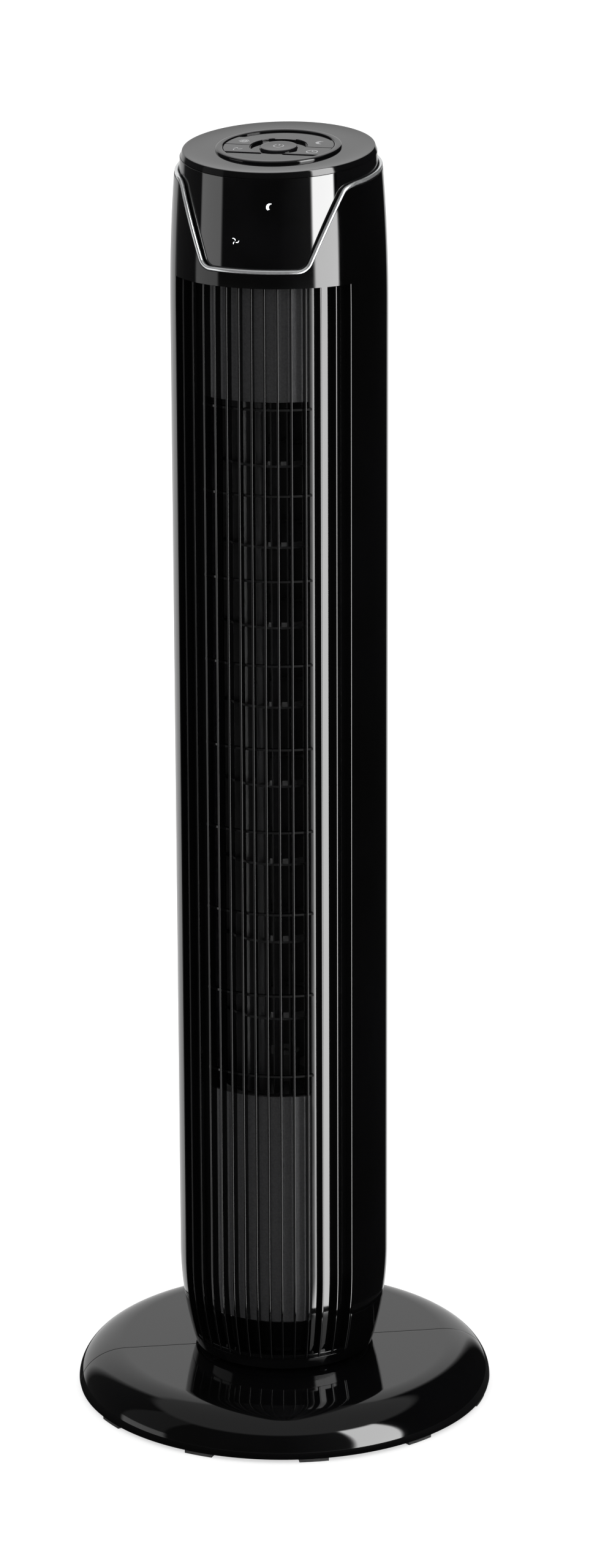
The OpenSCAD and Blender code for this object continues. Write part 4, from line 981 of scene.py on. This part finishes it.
def makeSideButton(name, node, body, xSign, ySign):
    near, far = buttons["split"], buttons["half"]
    low, top = buttons["low"], buttons["top"]
    cap = drawBlock(
        name, buttonOutline(buttons["inner"], buttons["outer"], near, far, xSign, ySign, low),
        Vector((0, 0, (top - low) * mm)),
    )
    roundEdges(cap, 0.4, 3, 50)
    collarLow = buttons["collarLow"]
    collar = drawBlock(
        "collar", buttonOutline(buttons["inner"], buttons["collarOut"], near, far, xSign, ySign, collarLow),
        Vector((0, 0, (low + 0.3 - collarLow) * mm)),
    )
    stem = makeStem(27 * xSign, 9 * ySign)
    whole = joined(name, [cap, collar, stem])
    finishPiece(onDeck(whole), body, "button_black", [node], 28)


def makePlateAndPower():
    thick, gap = deck["plateThick"], buttons["gap"]
    plate = makeRod("controlPlate", deck["plate"], thick, (0, 0, -thick / 2 * mm), 240)
    bpy.ops.object.transform_apply(location=True)
    for radius, low in ((deck["power"] + gap, -4), (deck["groove"], -deck["grooveDeep"])):
        cutWith(plate, makeRod("round", radius, 6, (0, 0, (low + 3) * mm), 160))
    for xSign in (-1, 1):
        half = buttons["half"] + gap
        inner = buttons["inner"] - gap
        points = []
        for i in range(25):
            a = math.asin(half / inner) * (2 * i / 24 - 1)
            points.append(Vector((inner * math.cos(a) * xSign, inner * math.sin(a), -5)) * mm)
        for i in range(25):
            a = math.asin(half / 40) * (1 - 2 * i / 24)
            points.append(Vector((40 * math.cos(a) * xSign, 40 * math.sin(a), -5)) * mm)
        cutWith(plate, drawBlock("opening", points, Vector((0, 0, 10 * mm))))
    finishPiece(onDeck(plate), "tower", "head_black", ["control_plate"], 28)
    r = deck["power"]
    profile = [
        (0.01, 0.42), (4, 0.43), (8, 0.47), (10.6, 0.58), (r - 1, 0.6), (r - 0.4, 0.52), (r, 0.1),
        (r, buttons["collarLow"] + 1), (0.01, buttons["collarLow"] + 1),
    ]
    cap = turnRing("buttonPower", profile, 160)
    collar = makeRod("collar", r + 1, 1, (0, 0, (buttons["collarLow"] + 0.5) * mm), 64)
    whole = joined("buttonPower", [cap, collar, makeStem(0, 0)])
    finishPiece(onDeck(whole), "power_key", "button_black", ["button_power"], 28)


# icons: plain generic signs, drawn as strokes
def arcPoints(x, y, radius, start, end, count=20):
    points = []
    for i in range(count + 1):
        a = math.radians(start + (end - start) * i / count)
        points.append(Vector((x + radius * math.cos(a), y + radius * math.sin(a))))
    return points


def strokePiece(points, width, height):
    left, right = [], []
    for i, point in enumerate(points):
        along = points[min(i + 1, len(points) - 1)] - points[max(i - 1, 0)]
        across = Vector((-along.y, along.x)).normalized() * width / 2
        left.append(point + across)
        right.append(point - across)
    outline = [Vector((p.x, p.y, 0)) * mm for p in left + list(reversed(right))]
    return drawBlock("stroke", outline, Vector((0, 0, height * mm)))


def crescentPoints(size):
    outer = arcPoints(0, 0, size, 60, 300, 18)
    inner = arcPoints(size * 0.55, 0, size * 0.87, 266, 94, 18)
    return outer + inner


def fanBlade(size, turn):
    # one blade: two arcs that meet at the hub
    points = []
    for i in range(9):
        share = i / 8
        a = math.radians(turn + 60 * share - 20)
        points.append(Vector((math.cos(a), math.sin(a))) * size * (0.15 + 0.85 * share ** 0.6))
    for i in range(7):
        share = 1 - i / 7
        a = math.radians(turn + 40 - 55 * (1 - share) + 10)
        points.append(Vector((math.cos(a), math.sin(a))) * size * (0.12 + 0.88 * share ** 0.9))
    return points


def flatPiece(points, height):
    outline = [Vector((p.x, p.y, 0)) * mm for p in points]
    return drawBlock("sign", outline, Vector((0, 0, height * mm)))


def signParts(kind, size, width, height):
    if kind == "moon":
        return [flatPiece(crescentPoints(size), height)]
    if kind == "fan":
        return [flatPiece(fanBlade(size, turn), height) for turn in (90, 210, 330)]
    if kind == "power":
        lines = [arcPoints(0, 0, size, 125, 415, 28), [Vector((0, size * 0.3)), Vector((0, size * 1.25))]]
    elif kind == "clock":
        hands = [Vector((0, size * 0.62)), Vector((0, 0)), Vector((size * 0.5, 0))]
        lines = [arcPoints(0, 0, size, 0, 359.9, 32), hands]
    else:
        lines = [
            arcPoints(0, 0, size, 200, 340, 16), arcPoints(0, 0, size * 0.55, 0, 359.9, 20),
            arcPoints(0, 0, size, 20, 160, 16), [Vector((-size * 1.3, 0)), Vector((size * 1.3, 0))],
        ]
    return [strokePiece(line, width, height) for line in lines]


def makeDeckIcon(name, kind, body, x, y, size, above):
    parts = signParts(kind, size, 0.7, 0.03)
    icon = joined(name, parts)
    icon.data.transform(Matrix.Translation(Vector((x, y, above)) * mm))
    finishPiece(onDeck(icon), body, "button_black", [], finish=iconPrint)


def makeLitIcon(name, kind, phi, z, size):
    parts = signParts(kind, size, 0.5, 0.04)
    icon = joined(name, parts)
    upright = Matrix.Rotation(math.pi / 2, 4, "X")
    turned = Matrix.Rotation(math.radians(phi), 4, "Z")
    place = Matrix.Translation(at(podRadius(z) + 0.03, phi, z))
    icon.data.transform(place @ turned @ upright)
    finishPiece(icon, "tower", "led_white", [], finish=iconLight)


makeHead()
makeDeck()
makePlateAndPower()
sideButtons = [
    ("buttonSpeed", "button_speed", "speed_key", -1, -1), ("buttonSwing", "button_swing", "swing_key", -1, 1),
    ("buttonTimer", "button_timer", "timer_key", 1, -1), ("buttonSleep", "button_sleep", "sleep_key", 1, 1),
]
for name, node, body, xSign, ySign in sideButtons:
    makeSideButton(name, node, body, xSign, ySign)
# name, sign, body, place on the deck, size and height above the plate
deckIcons = [
    ("iconPower", "power", "power_key", 0, 0, 3.4, 0.46),
    ("iconSpeed", "fan", "speed_key", -26.5, -11, 3.9, 0.6),
    ("iconSwing", "swing", "swing_key", -26.5, 8.5, 3.0, 0.6),
    ("iconTimer", "clock", "timer_key", 26.5, -11.5, 3.7, 0.6),
    ("iconSleep", "moon", "sleep_key", 26.5, 11.5, 3.4, 0.6),
]
for row in deckIcons:
    makeDeckIcon(*row)
makeLitIcon("litMoon", "moon", 10, 879, 2.6)
makeLitIcon("litFan", "fan", -10, 855, 2.9)
print("head")
